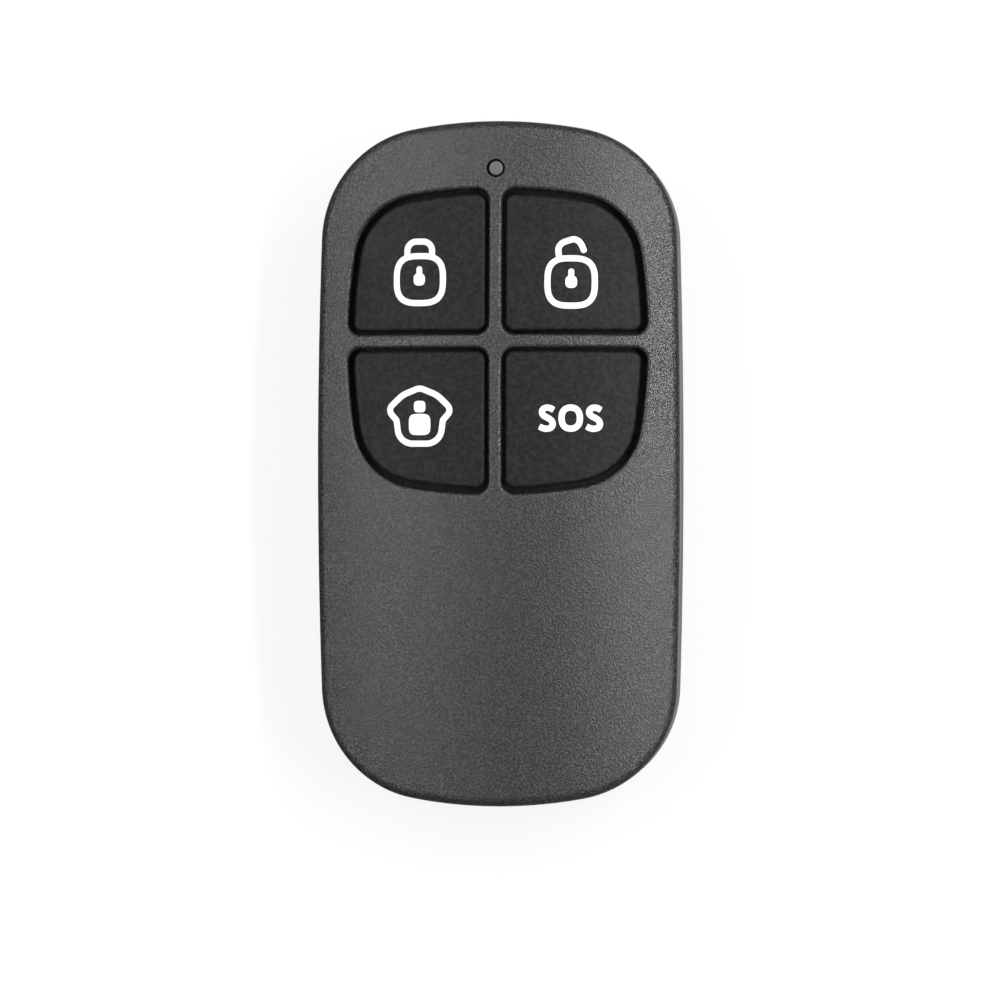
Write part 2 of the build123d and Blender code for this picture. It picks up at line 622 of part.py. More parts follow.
# Encoder chip with gull-wing leads
with BuildPart() as encoder_chip:
    body_top = board_height - CHIP_STANDOFF
    add(prism(boxes(body_top - CHIP, [(0, antenna_y)], CHIP_WIDTH, CHIP_LENGTH), CHIP))
    chamfer(encoder_chip.faces().sort_by(Axis.Z)[0].edges(), CHIP_STANDOFF)
    lead_middle = body_top - CHIP / 2
    with Locations((0, antenna_y, lead_middle)):
        with GridLocations(CHIP_WIDTH + LEAD_REACH / 2, LEAD_PITCH, 2, LEAD_COUNT):
            Box(LEAD_REACH / 2 + LEAD, LEAD_WIDTH, LEAD)
        with GridLocations(CHIP_WIDTH + LEAD_REACH, LEAD_PITCH, 2, LEAD_COUNT):
            Box(LEAD, LEAD_WIDTH, board_height - lead_middle, align=(Align.CENTER, Align.CENTER, Align.MIN))
    with Locations((0, antenna_y, board_height)):
        with GridLocations(CHIP_WIDTH + 3 * LEAD_REACH / 2, LEAD_PITCH, 2, LEAD_COUNT):
            Box(LEAD_REACH / 2 + LEAD, LEAD_WIDTH, LEAD, align=(Align.CENTER, Align.CENTER, Align.MAX))

# Transistor with three legs
with BuildPart() as rf_transistor:
    with Locations((*on_board(TRANSISTOR_SHARE), board_height - CHIP_STANDOFF)):
        Box(TRANSISTOR_WIDTH, TRANSISTOR_LENGTH, TRANSISTOR, align=(Align.CENTER, Align.CENTER, Align.MAX))
        leg_y = TRANSISTOR_LENGTH / 2
        with Locations((-TRANSISTOR_PITCH / 2, leg_y), (TRANSISTOR_PITCH / 2, leg_y), (0, -leg_y)):
            Box(TRANSISTOR_LEG, 2 * TRANSISTOR_LEG, LEAD, align=(Align.CENTER, Align.CENTER, Align.MAX))

# Resonator in a lidded can, and crystal
with BuildPart() as saw_resonator:
    with Locations((*on_board(SAW_SHARE), board_height)):
        Box(SAW_SIZE, SAW_SIZE, SAW, align=(Align.CENTER, Align.CENTER, Align.MAX))
    chamfer(saw_resonator.faces().sort_by(Axis.Z)[0].edges(), SAW_BEVEL)

with BuildPart() as crystal:
    with Locations((*on_board(CRYSTAL_SHARE), board_height)):
        Box(CRYSTAL_WIDTH, CRYSTAL_LENGTH, CRYSTAL, align=(Align.CENTER, Align.CENTER, Align.MAX))
    chamfer(crystal.faces().sort_by(Axis.Z)[0].edges(), CRYSTAL_BEVEL)


def small_chips(shares):
    """Group of small chip components under the board."""
    places = [on_board(share) for share in shares]
    plan = boxes(board_height - SMALL_CHIP, places, SMALL_CHIP_WIDTH, SMALL_CHIP_LENGTH)
    with BuildPart() as group:
        add(prism(plan, SMALL_CHIP))
        chamfer(group.faces().group_by(Axis.Z)[0].edges(), SMALL_CHIP_BEVEL)
    return group


# Indicator light on the board, and the light pipe above it
with BuildPart() as led:
    add(prism(boxes(board_top, light_place, LED_WIDTH, LED_LENGTH), LED_BASE))
    add(prism(boxes(board_top, light_place, LED_LENS_WIDTH, LED_LENGTH), LED_BASE + LED_LENS))

with BuildPart() as light_pipe:
    pipe_height = board_top + LED_BASE + LED_LENS + PIPE_GAP
    add(prism(discs(pipe_height, light_place, LIGHT_PIPE_RADIUS), light_height - LIGHT_SUNK - pipe_height))
    fillet(light_pipe.faces().sort_by(Axis.Z)[-1].edges(), LIGHT_PIPE_ROLL)
    add(prism(discs(collar_height - PIPE_FLANGE, light_place, PIPE_FLANGE_RADIUS), PIPE_FLANGE))

# Coin cell: can, sealing ring and cap
with BuildPart() as cell_can:
    add(prism(discs(cell_height, cell_place, CELL_RADIUS), CELL - CELL_CAP_STEP))
    fillet(cell_can.edges().filter_by(GeomType.CIRCLE), CELL_EDGE_ROLL)
    inside = discs(cell_height + CELL_SKIN, cell_place, cell_cap_radius + CELL_GASKET)
    add(prism(inside, CELL), mode=Mode.SUBTRACT)

with BuildPart() as cell_gasket:
    gasket_height = CELL - CELL_SKIN - CELL_CAP_STEP
    add(prism(discs(cell_height + CELL_SKIN, cell_place, cell_cap_radius + CELL_GASKET), gasket_height))
    add(prism(discs(cell_height + CELL_SKIN, cell_place, cell_cap_radius), CELL), mode=Mode.SUBTRACT)

with BuildPart() as cell_cap:
    add(prism(discs(cell_height + CELL_SKIN, cell_place, cell_cap_radius), CELL - CELL_SKIN))
    fillet(cell_cap.faces().sort_by(Axis.Z)[-1].edges(), CELL_CAP_STEP)

# Sprung strip from the board's left ear to the middle of the cell's cap
foot_start = CELL_RADIUS + BOARD_GAP + STRIP + SEATED_GAP
spring_direction = Vector(1, 0, 0).rotate(Axis.Z, 180 - CONTACT_DIRECTION)
spring_across = spring_direction.cross(Vector(0, 0, 1))
spring_plane = Plane(origin=(0, cell_y, 0), x_dir=spring_direction, z_dir=spring_across)
with BuildPart() as negative_contact:
    spring_points = [
        (foot_start + STRIP_FOOT, board_top),
        (foot_start, board_top),
        (foot_start - STRIP_RISE, board_top + STRIP_RISE),
        (STRIP_FLAT, cell_top),
        (-STRIP_FLAT, cell_top),
        (-STRIP_FLAT - STRIP_TIP, cell_top + STRIP_TIP / 2),
    ]
    with BuildSketch(spring_plane):
        with BuildLine():
            upper_points = [(reach, height + STRIP) for reach, height in reversed(spring_points)]
            Polyline(*spring_points, *upper_points, close=True)
        make_face()
    extrude(amount=STRIP_WIDTH / 2, both=True)

# Angle from the board's right ear down the side of the cell's can
side_direction = Vector(1, 0, 0).rotate(Axis.Z, CONTACT_DIRECTION)
side_across = side_direction.cross(Vector(0, 0, 1))
side_plane = Plane(origin=(0, cell_y, 0), x_dir=side_direction, z_dir=side_across)
with BuildPart() as positive_contact:
    blade = CELL_RADIUS + SEATED_GAP
    with BuildSketch(side_plane):
        with BuildLine():
            Polyline(
                (foot_start + STRIP_FOOT, board_top),
                (blade + STRIP, board_top),
                (blade + STRIP, housing_top + SEATED_GAP),
                (blade, housing_top + SEATED_GAP),
                (blade, board_top + STRIP),
                (foot_start + STRIP_FOOT, board_top + STRIP),
                close=True,
            )
        make_face()
    extrude(amount=SIDE_CONTACT_WIDTH / 2, both=True)

pieces = {
    "front_cover": front_cover,
    "rear_cover": rear_cover,
    "battery_door": battery_door,
    "door_seal": door_seal,
    "lanyard_pin": lanyard_pin,
    "case_screws": case_screws,
    "keypad_mat": keypad_mat,
    "circuit_board": circuit_board,
    "contact_pads": contact_pads,
    "antenna_loop": antenna_loop,
    "encoder_chip": encoder_chip,
    "rf_transistor": rf_transistor,
    "saw_resonator": saw_resonator,
    "crystal": crystal,
    "chip_capacitors": small_chips(CAPACITOR_SHARES),
    "chip_resistors": small_chips(RESISTOR_SHARES),
    "led": led,
    "light_pipe": light_pipe,
    "cell_can": cell_can,
    "cell_gasket": cell_gasket,
    "cell_cap": cell_cap,
    "negative_contact": negative_contact,
    "positive_contact": positive_contact,
}

# The four keys, each with its dome and contact pill
for name, (column, row) in KEYS.items():
    with BuildPart() as contact_pill:
        add(prism(discs(pill_height, [key_places[name]], PILL_RADIUS), PILL))
    pieces[f"key_{name}"] = key_cap(column, row)
    pieces[f"dome_{name}"] = collapsing_dome(key_places[name])
    pieces[f"contact_pill_{name}"] = contact_pill

os.makedirs("parts", exist_ok=True)
for name, piece in pieces.items():
    piece.part.label = name
    export_step(piece.part, f"parts/{name}.step")
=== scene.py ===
"""Looks of a four-button alarm key fob, built around its CAD frame.

The fob lies on its back: +Z is up towards the keys and +Y points to the end with the light.
"""

import logging
import math
from collections.abc import Sequence
from dataclasses import dataclass, field
from enum import Enum

import bmesh
import bpy
import numpy as np
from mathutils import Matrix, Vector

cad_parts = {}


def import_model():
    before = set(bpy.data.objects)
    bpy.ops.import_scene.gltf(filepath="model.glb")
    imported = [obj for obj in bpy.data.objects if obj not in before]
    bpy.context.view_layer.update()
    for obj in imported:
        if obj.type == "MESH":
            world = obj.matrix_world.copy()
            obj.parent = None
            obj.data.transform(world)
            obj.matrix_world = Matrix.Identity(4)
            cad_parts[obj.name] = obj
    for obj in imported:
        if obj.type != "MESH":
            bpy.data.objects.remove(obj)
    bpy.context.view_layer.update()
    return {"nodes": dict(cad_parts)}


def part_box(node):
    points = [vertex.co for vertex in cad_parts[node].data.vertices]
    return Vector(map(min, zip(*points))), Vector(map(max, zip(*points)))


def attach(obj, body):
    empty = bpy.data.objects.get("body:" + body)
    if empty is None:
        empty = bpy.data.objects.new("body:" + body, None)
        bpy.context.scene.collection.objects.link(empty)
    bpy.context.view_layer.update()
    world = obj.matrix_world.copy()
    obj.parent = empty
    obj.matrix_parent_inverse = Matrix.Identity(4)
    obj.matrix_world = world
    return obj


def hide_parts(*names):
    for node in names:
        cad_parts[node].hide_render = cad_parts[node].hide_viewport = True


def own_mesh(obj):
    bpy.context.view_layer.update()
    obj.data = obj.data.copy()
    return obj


LOG = logging.getLogger("key_fob")
MM = 0.001
MERGE_DISTANCE = 1e-7
WHITE = (1.0, 1.0, 1.0, 1.0)
Colour = tuple[float, float, float]
Point = tuple[float, float]
Ramp = tuple[float, float, float, float]
Socket = bpy.types.NodeSocket
Sockets = dict[str, bpy.types.NodeSocket]
Nodes = dict[str, bpy.types.Object]


class Effect(Enum):
    """Surface effects that several materials share, each one node group."""

    GRAIN = "moulded_grain"
    MOTTLE = "handling_mottle"
    DUST = "fine_dust"
    STREAKS = "turned_streaks"


class End(Enum):
    """How a stroke ends: the power of its outline, and its length as a share of half the width."""

    ROUND = (2.0, 1.0)
    BLUNT = (5.0, 0.45)
    CUT = (8.0, 0.05)


class Tree:
    """Short calls that build a node tree."""

    def __init__(self, tree: bpy.types.NodeTree) -> None:
        """Keeps the node tree that the nodes go in."""
        self.tree = tree

    def node(self, kind: str, settings: dict[str, object] | None = None, **values: object) -> bpy.types.Node:
        """Adds a node, sets its properties, and sets or links its inputs.

        Args:
            kind: Type name of the node, without its ShaderNode prefix.
            settings: Properties of the node, such as its operation.
            **values: Inputs by name, with _ for a space, or by place as in0, each a number,
                a vector or the socket that feeds it.

        Returns:
            The new node.
        """
        made = self.tree.nodes.new(kind if kind.startswith("Node") else f"ShaderNode{kind}")
        for name, value in (settings or {}).items():
            setattr(made, name, value)
        for name, value in values.items():
            place = int(name[2:]) if name[:2] == "in" and name[2:].isdigit() else name.replace("_", " ")
            socket = made.inputs[place]
            if isinstance(value, Socket):
                self.tree.links.new(value, socket)
            else:
                socket.default_value = value
        return made

    def math(self, operation: str, *values: object) -> Socket:
        """Adds a Math node over up to three numbers or sockets, and gives its result."""
        inputs = {f"in{place}": value for place, value in enumerate(values)}
        return self.node("Math", {"operation": operation}, **inputs).outputs[0]

    def spread(self, value: object, low: object, high: object, to_low: object, to_high: object) -> Socket:
        """Maps a value from the range low to high to the range to_low to to_high, and holds it there."""
        made = self.node("MapRange", {"clamp": True}, in0=value, in1=low, in2=high, in3=to_low, in4=to_high)
        return made.outputs[0]

    def sway(self, value: object, span: Point, middle: object, amount: object) -> Socket:
        """Maps a value's span to a range that reaches by an amount to each side of a middle."""
        low, high = self.math("SUBTRACT", middle, amount), self.math("ADD", middle, amount)
        return self.spread(value, *span, low, high)

    def mix(self, factor: object, first: object, second: object) -> Socket:
        """Mixes two colours, or their sockets, by the share of the second one."""
        return self.node("Mix", {"data_type": "RGBA"}, in0=factor, in6=first, in7=second).outputs[2]

    def group(self, effect: Effect, **values: object) -> bpy.types.Node:
        """Places an effect's node group, with its inputs given as for node()."""
        return self.node("Group", {"node_tree": effect_group(effect)}, **values)


def opaque(colour: Colour) -> tuple[float, float, float, float]:
    """Gives a colour its full alpha."""
    return (*colour, 1.0)


# Noise of the effects, and the ranges of a pattern's own values that they use
GRAIN_NOISE = {"Detail": 2.0, "Roughness": 0.6}
GRAIN_RANGE = (0.62, 0.98)
PIT_SCALE_SHARE = 0.7
PIT_SMOOTHNESS = 0.7
PIT_WEIGHT = 0.6
MOTTLE_NOISE = {"Detail": 3.0, "Roughness": 0.55}
RING_NOISE = {"Detail": 3.0, "Roughness": 0.7}
RING_METRES_PER_RADIAN = 0.0004
NOISE_RANGE = (0.3, 0.7)
SPECK_SHARE = 0.12
SPECK_THRESHOLD = 0.85
SPECK_COLOUR = (0.32, 0.31, 0.29)


def grain_effect(tree: Tree, given: Sockets) -> Sockets:
    """Fine spark-eroded texture: noise over small pits, which shade the colour too.

    Args:
        tree: Tree of the group.
        given: The group's inputs.

    Returns:
        The group's outputs by name.
    """
    fine = tree.node("TexNoise", Vector=given["Vector"], Scale=given["Grain"], **GRAIN_NOISE)
    pit_scale = tree.math("MULTIPLY", given["Grain"], PIT_SCALE_SHARE)
    pits = tree.node("TexVoronoi", {"feature": "SMOOTH_F1"}, Vector=given["Vector"], Scale=pit_scale,
                     Smoothness=PIT_SMOOTHNESS)
    height = tree.math("MULTIPLY_ADD", pits.outputs["Distance"], PIT_WEIGHT, fine.outputs["Fac"])
    tone = tree.sway(height, GRAIN_RANGE, 1.0, given["Contrast"])
    colour = tree.node("VectorMath", {"operation": "SCALE"}, in0=given["Color"], Scale=tone)
    return {"Color": colour.outputs[0], "Height": height}


def mottle_effect(tree: Tree, given: Sockets) -> Sockets:
    """Soft change of gloss over a surface, as from handling."""
    cloud = tree.node("TexNoise", Vector=given["Vector"], Scale=given["Scale"], **MOTTLE_NOISE)
    return {"Roughness": tree.sway(cloud.outputs["Fac"], NOISE_RANGE, given["Roughness"], given["Amount"])}


def dust_effect(tree: Tree, given: Sockets) -> Sockets:
    """Sparse pale specks of dust.

    Args:
        tree: Tree of the group.
        given: The group's inputs.

    Returns:
        The group's outputs by name.
    """
    cells = tree.node("TexVoronoi", {"feature": "F1"}, Vector=given["Vector"], Scale=given["Scale"])
    near = tree.spread(cells.outputs["Distance"], 0.0, SPECK_SHARE, 1.0, 0.0)
    draw = tree.node("SeparateColor", Color=cells.outputs["Color"]).outputs[0]
    chosen = tree.math("GREATER_THAN", draw, SPECK_THRESHOLD)
    mask = tree.math("MULTIPLY", tree.math("MULTIPLY", near, chosen), given["Amount"])
    return {"Color": tree.mix(mask, given["Color"], opaque(SPECK_COLOUR))}


def streaks_effect(tree: Tree, given: Sockets) -> Sockets:
    """Fine rings round a centre, as on turned or rolled metal.

    Args:
        tree: Tree of the group.
        given: The group's inputs.

    Returns:
        The group's outputs by name.
    """
    arm = tree.node("VectorMath", {"operation": "SUBTRACT"}, in0=given["Vector"], in1=given["Centre"])
    parts = tree.node("SeparateXYZ", Vector=arm.outputs[0]).outputs
    squares = [tree.math("POWER", parts[axis], 2.0) for axis in (0, 1)]
    reach = tree.math("SQRT", tree.math("ADD", *squares))
    turn = tree.math("MULTIPLY", tree.math("ARCTAN2", parts[1], parts[0]), RING_METRES_PER_RADIAN)
    place = tree.node("CombineXYZ", X=reach, Y=turn, Z=parts[2]).outputs[0]
    rings = tree.node("TexNoise", Vector=place, Scale=given["Scale"], **RING_NOISE)
    return {"Roughness": tree.sway(rings.outputs["Fac"], NOISE_RANGE, given["Roughness"], given["Amount"])}


# Each effect's maker, its inputs and its outputs, which are numbers where no kind is given
SOCKET_KINDS = {"Vector": "Vector", "Centre": "Vector", "Color": "Color"}
GROUP_MAKERS = {
    Effect.GRAIN: (grain_effect, ("Vector", "Color", "Grain", "Contrast"), ("Color", "Height")),
    Effect.MOTTLE: (mottle_effect, ("Vector", "Scale", "Roughness", "Amount"), ("Roughness",)),
    Effect.DUST: (dust_effect, ("Vector", "Color", "Scale", "Amount"), ("Color",)),
    Effect.STREAKS: (streaks_effect, ("Vector", "Centre", "Scale", "Roughness", "Amount"), ("Roughness",)),
}


def effect_group(effect: Effect) -> bpy.types.NodeTree:
    """Finds an effect's node group, and makes it the first time.

    Args:
        effect: Effect that is wanted.

    Returns:
        The node group.
    """
    found = bpy.data.node_groups.get(effect.value)
    if found:
        return found
    maker, inputs, outputs = GROUP_MAKERS[effect]
    group = bpy.data.node_groups.new(effect.value, "ShaderNodeTree")
    for direction, names in (("INPUT", inputs), ("OUTPUT", outputs)):
        for name in names:
            kind = SOCKET_KINDS.get(name, "Float")
            group.interface.new_socket(name=name, in_out=direction, socket_type=f"NodeSocket{kind}")
    tree = Tree(group)
    given = tree.node("NodeGroupInput").outputs
    made = maker(tree, {name: given[name] for name in inputs})
    tree.node("NodeGroupOutput", **made)
    return group


class Surface(Tree):
    """Node tree of a material, round its Principled shader.

    Attributes:
        shader: The Principled shader.
        place: Object coordinates.
    """

    def __init__(self, tree: bpy.types.NodeTree, **values: object) -> None:
        """Adds the shader, the material's output and the coordinates.

        Args:
            tree: The material's node tree.
            **values: Inputs of the shader, as for node().
        """
        super().__init__(tree)
        self.shader = self.node("BsdfPrincipled", **values)
        self.node("OutputMaterial", Surface=self.shader.outputs[0])
        self.place = self.node("TexCoord").outputs["Object"]

    def feed(self, name: str, socket: Socket) -> None:
        """Links a socket to an input of the shader."""
        self.tree.links.new(socket, self.shader.inputs[name])


@dataclass(frozen=True)
class Finish:
    """One material: its plain values and what its surface shows close up.

    Attributes:
        name: Name of the material.
        colour: Base colour, linear.
        roughness: Middle roughness.
        metallic: 1 for bare metal.
        specular: Specular level of the shader.
        grain_mm: Size of the surface's grain.
        grain_depth_mm: Depth of the grain as bump.
        contrast: How much the grain shades the colour.
        mottle: How far the roughness strays.
        mottle_mm: Size of the mottle's patches.
        dust: Strength of the dust specks.
        dust_mm: Size of the cells that may each hold a speck.
    """

    name: str
    colour: Colour
    roughness: float
    metallic: float = 0.0
    specular: float = 0.5
    grain_mm: float = 0.1
    grain_depth_mm: float = 0.002
    contrast: float = 0.08
    mottle: float = 0.03
    mottle_mm: float = 9.0
    dust: float = 0.0
    dust_mm: float = 0.9

    def material(self) -> bpy.types.Material:
        """Builds the material, or gives the one already built.

        Returns:
            The material.
        """
        found = bpy.data.materials.get(self.name)
        if found:
            return found
        material = bpy.data.materials.new(self.name)
        material.use_nodes = True
        material.node_tree.nodes.clear()
        self.dress(Surface(material.node_tree, Metallic=self.metallic, Specular_IOR_Level=self.specular))
        return material

    def dress(self, surface: Surface) -> None:
        """Feeds the shader's colour, roughness and normal.

        Args:
            surface: Tree of the material.
        """
        grain = surface.group(Effect.GRAIN, Vector=surface.place, Color=self.pattern(surface),
                              Grain=1 / (self.grain_mm * MM), Contrast=self.contrast)
        dust = surface.group(Effect.DUST, Vector=surface.place, Color=grain.outputs["Color"],
                             Scale=1 / (self.dust_mm * MM), Amount=self.dust)
        bump = surface.node("Bump", Height=grain.outputs["Height"], Distance=self.grain_depth_mm * MM,
                            Strength=1.0)
        surface.feed("Base Color", dust.outputs["Color"])
        surface.feed("Roughness", self.gloss(surface))
        surface.feed("Normal", bump.outputs[0])

    def pattern(self, surface: Surface) -> object:
        """Gives the colour before grain and dust, or its socket, here the same all over."""
        return opaque(self.colour)

    def gloss(self, surface: Surface) -> Socket:
        """Gives the roughness, here with a soft mottle."""
        mottle = surface.group(Effect.MOTTLE, Vector=surface.place, Scale=1 / (self.mottle_mm * MM),
                               Roughness=self.roughness, Amount=self.mottle)
        return mottle.outputs["Roughness"]


@dataclass(frozen=True)
class TurnedMetal(Finish):
    """Metal with fine rings round a centre.

    Attributes:
        metallic: 1 for bare metal.
        centre_mm: Centre of the rings on the plan.
        ring_mm: Width of the rings.
    """

    metallic: float = 1.0
    centre_mm: tuple[float, float, float] = (0.0, 0.0, 0.0)
    ring_mm: float = 0.12

    def gloss(self, surface: Surface) -> Socket:
        """Gives the roughness, with rings.

        Args:
            surface: Tree of the material.

        Returns:
            The roughness.
        """
        centre = tuple(value * MM for value in self.centre_mm)
        streaks = surface.group(Effect.STREAKS, Vector=surface.place, Centre=centre,
                                Scale=1 / (self.ring_mm * MM), Roughness=self.roughness, Amount=self.mottle)
        return streaks.outputs["Roughness"]


@dataclass(frozen=True)
class SolderMask(Finish):
    """Board laminate with copper tracks that show through its lacquer.

    Attributes:
        track_colour: Colour over a track.
        track_mm: Spacing of the tracks.
        scatter: How far the fields between the tracks stray from squares.
        edge_shares: Where a track's lacquer starts and ends to slope, as shares of the spacing.
    """

    track_colour: Colour = (0.05, 0.26, 0.12)
    track_mm: float = 2.2
    scatter: float = 0.6
    edge_shares: tuple[float, float] = (0.07, 0.1)

    def pattern(self, surface: Surface) -> object:
        """Gives squared-off tracks between the laminate's plain fields.

        Args:
            surface: Tree of the material.

        Returns:
            The colour's socket.
        """
        cells = surface.node("TexVoronoi", {"feature": "DISTANCE_TO_EDGE"}, Vector=surface.place,
                             Scale=1 / (self.track_mm * MM), Randomness=self.scatter)
        edge = surface.spread(cells.outputs["Distance"], *self.edge_shares, 1.0, 0.0)
        return surface.mix(edge, opaque(self.colour), opaque(self.track_colour))


@dataclass(frozen=True)
class FrostedAcrylic(Finish):
    """Clear acrylic with a frosted face.

    Attributes:
        transmission: Share of light that passes.
        refraction: Index of refraction.
    """

    transmission: float = 0.5
    refraction: float = 1.49

    def dress(self, surface: Surface) -> None:
        """Adds the transmission to the plain dress.

        Args:
            surface: Tree of the material.
        """
        super().dress(surface)
        surface.shader.inputs["Transmission Weight"].default_value = self.transmission
        surface.shader.inputs["IOR"].default_value = self.refraction


# Plastics, rubbers and ink
CASING = Finish("casing_plastic", (0.036, 0.036, 0.037), 0.19, grain_mm=0.12, grain_depth_mm=0.044,
                contrast=0.6, mottle=0.02, mottle_mm=14.0)
BACK_CASING = Finish("casing_plastic_back", (0.042, 0.042, 0.0432), 0.3, grain_mm=0.11, grain_depth_mm=0.03,
                     contrast=0.6, mottle=0.04, mottle_mm=11.0, dust=0.12, dust_mm=2.2)
KEY_RUBBER = Finish("key_soft_black", (0.0115, 0.0115, 0.0118), 0.55, specular=0.22, grain_mm=0.3,
                    grain_depth_mm=0.012, contrast=0.5, mottle_mm=6.0)
LEGEND_INK = Finish("legend_white_ink", (0.93, 0.93, 0.93), 0.55, specular=0.4, grain_mm=0.08,
                    grain_depth_mm=0.001, contrast=0.03, mottle=0.05, mottle_mm=1.5)
SILICONE = Finish("silicone_grey", (0.3, 0.3, 0.32), 0.45, specular=0.4, grain_mm=0.2, grain_depth_mm=0.003,
                  contrast=0.05, mottle=0.06, mottle_mm=4.0, dust=0.3)
CARBON = Finish("carbon_rubber", (0.02, 0.02, 0.02), 0.6, specular=0.35, grain_mm=0.08,
                grain_depth_mm=0.003, contrast=0.2)
SEAL = Finish("seal_black_rubber", (0.03, 0.03, 0.03), 0.48, grain_mm=0.12, contrast=0.1)
LIGHT_PIPE = FrostedAcrylic("light_pipe_frosted", (0.17, 0.17, 0.175), 0.4, grain_mm=0.08, contrast=0.12,
                            transmission=0.3)

# Board and what it carries
BOARD = SolderMask("board_green", (0.02, 0.16, 0.07), 0.34, grain_mm=0.25, grain_depth_mm=0.003,
                   contrast=0.06, dust=0.2)
GOLD = Finish("gold_plate", (0.83, 0.65, 0.3), 0.3, metallic=1.0, contrast=0.05, mottle=0.06, mottle_mm=2.0)
CHIP = Finish("chip_epoxy", (0.03, 0.03, 0.03), 0.55, specular=0.4, grain_mm=0.09, grain_depth_mm=0.003,
              contrast=0.18)
CERAMIC = Finish("chip_ceramic", (0.55, 0.45, 0.35), 0.45, grain_mm=0.09, contrast=0.12, mottle_mm=1.5)
TIN = Finish("tin_lid", (0.7, 0.7, 0.7), 0.32, metallic=1.0, grain_mm=0.12, contrast=0.06, mottle=0.08,
             mottle_mm=2.0)
LAMP = Finish("lamp_package", (0.85, 0.85, 0.8), 0.4, grain_depth_mm=0.001, contrast=0.04)

# Coin cell, its contacts, pin and screws
CELL_CENTRE_MM = (0.0, -13.0, 0.0)
PIN_CENTRE_MM = (0.0, -23.8, 0.0)
CELL_STEEL = TurnedMetal("cell_nickel", (0.72, 0.72, 0.73), 0.3, grain_mm=0.2, grain_depth_mm=0.001,
                         contrast=0.04, mottle=0.09, centre_mm=CELL_CENTRE_MM)
CELL_RING = Finish("cell_gasket_nylon", (0.1, 0.1, 0.11), 0.5)
SPRING = TurnedMetal("spring_nickel", (0.68, 0.67, 0.64), 0.28, grain_mm=0.15, grain_depth_mm=0.001,
                     contrast=0.05, mottle=0.08, centre_mm=CELL_CENTRE_MM)
STEEL = TurnedMetal("turned_steel", (0.55, 0.55, 0.56), 0.33, mottle=0.1, centre_mm=PIN_CENTRE_MM)


@dataclass(frozen=True)
class Shape:
    """Surface as arrays.

    Attributes:
        points: Corner points, one row each.
        faces: Arrays of corner numbers, of three or four columns.
    """

    points: np.ndarray
    faces: tuple[np.ndarray, ...]

    @staticmethod
    def joined(shapes: list["Shape"]) -> "Shape":
        """Puts several shapes in one, each with its corner numbers moved on.

        Args:
            shapes: Shapes to join.

        Returns:
            The joined shape.
        """
        starts = np.cumsum([0] + [len(shape.points) for shape in shapes[:-1]])
        faces = tuple(part + start for shape, start in zip(shapes, starts) for part in shape.faces)
        return Shape(np.concatenate([shape.points for shape in shapes]), faces)


def grid_faces(rows: int, columns: int, close_rows: bool, close_columns: bool) -> np.ndarray:
    """Four-sided faces of a grid of points stored row by row.

    Args:
        rows: Count of rows.
        columns: Count of columns.
        close_rows: Whether the last row joins the first.
        close_columns: Whether the last column joins the first.

    Returns:
        The faces, four corner numbers each.
    """
    row = np.arange(rows if close_rows else rows - 1)[:, None]
    column = np.arange(columns if close_columns else columns - 1)[None, :]
    next_row = (row + 1) % rows
    next_column = (column + 1) % columns
    corners = (row * columns + column, row * columns + next_column, next_row * columns + next_column,
               next_row * columns + column)
    return np.stack(np.broadcast_arrays(*corners), -1).reshape(-1, 4)


def make_piece(name: str, shape: Shape, material: bpy.types.Material,
               smooth_degrees: float) -> bpy.types.Object:
    """Makes an object at the origin from a shape, with its faces turned outwards.

    Args:
        name: Name of the piece.
        shape: Its surface, in metres.
        material: Its material.
        smooth_degrees: Angle above which an edge stays sharp.

    Returns:
        The object.
    """
    mesh = bpy.data.meshes.new(name)
    mesh.from_pydata(shape.points.tolist(), [], [corner for part in shape.faces for corner in part.tolist()])
    work = bmesh.new()
    work.from_mesh(mesh)
    bmesh.ops.remove_doubles(work, verts=work.verts, dist=MERGE_DISTANCE)
    bmesh.ops.recalc_face_normals(work, faces=work.faces)
    work.to_mesh(mesh)
    work.free()
    mesh.shade_smooth()
    mesh.set_sharp_from_angle(angle=math.radians(smooth_degrees))
    mesh.materials.append(material)
    made = bpy.data.objects.new(name, mesh)
    bpy.context.scene.collection.objects.link(made)
    return made


# Points that a curve is worked out at, before it is spaced evenly
OUTLINE_OVERSAMPLE = 4
ARC_POINTS = 17
SPAN_POINTS = 24


def resample(path: np.ndarray, count: int, closed: bool) -> np.ndarray:
    """Spaces points evenly along a path by its length.

    Args:
        path: Points of the path.
        count: How many points to give.
        closed: Whether the path returns to its start.

    Returns:
        The evenly spaced points.
    """
    line = np.concatenate([path, path[:1]]) if closed else path
    reach = np.concatenate([[0], np.cumsum(np.linalg.norm(np.diff(line, axis=0), axis=1))])
    wanted = np.linspace(0, reach[-1], count, endpoint=not closed)
    return np.stack([np.interp(wanted, reach, line[:, axis]) for axis in (0, 1)], -1)


def squircle(centre: Point, width: float, height: float, power: float, count: int = 96) -> np.ndarray:
    """Closed outline where |x/a|^power + |y/b|^power is 1.

    Args:
        centre: Its middle.
        width: Its whole width.
        height: Its whole height.
        power: 2 for an ellipse, more for squarer corners.
        count: How many points to give.

    Returns:
        The outline's points.
    """
    turn = np.linspace(0, 2 * np.pi, OUTLINE_OVERSAMPLE * count, endpoint=False)
    cosine, sine = np.cos(turn), np.sin(turn)
    x = width / 2 * np.sign(cosine) * np.abs(cosine) ** (2 / power)
    y = height / 2 * np.sign(sine) * np.abs(sine) ** (2 / power)
    return resample(np.stack([x, y], -1) + centre, count, True)


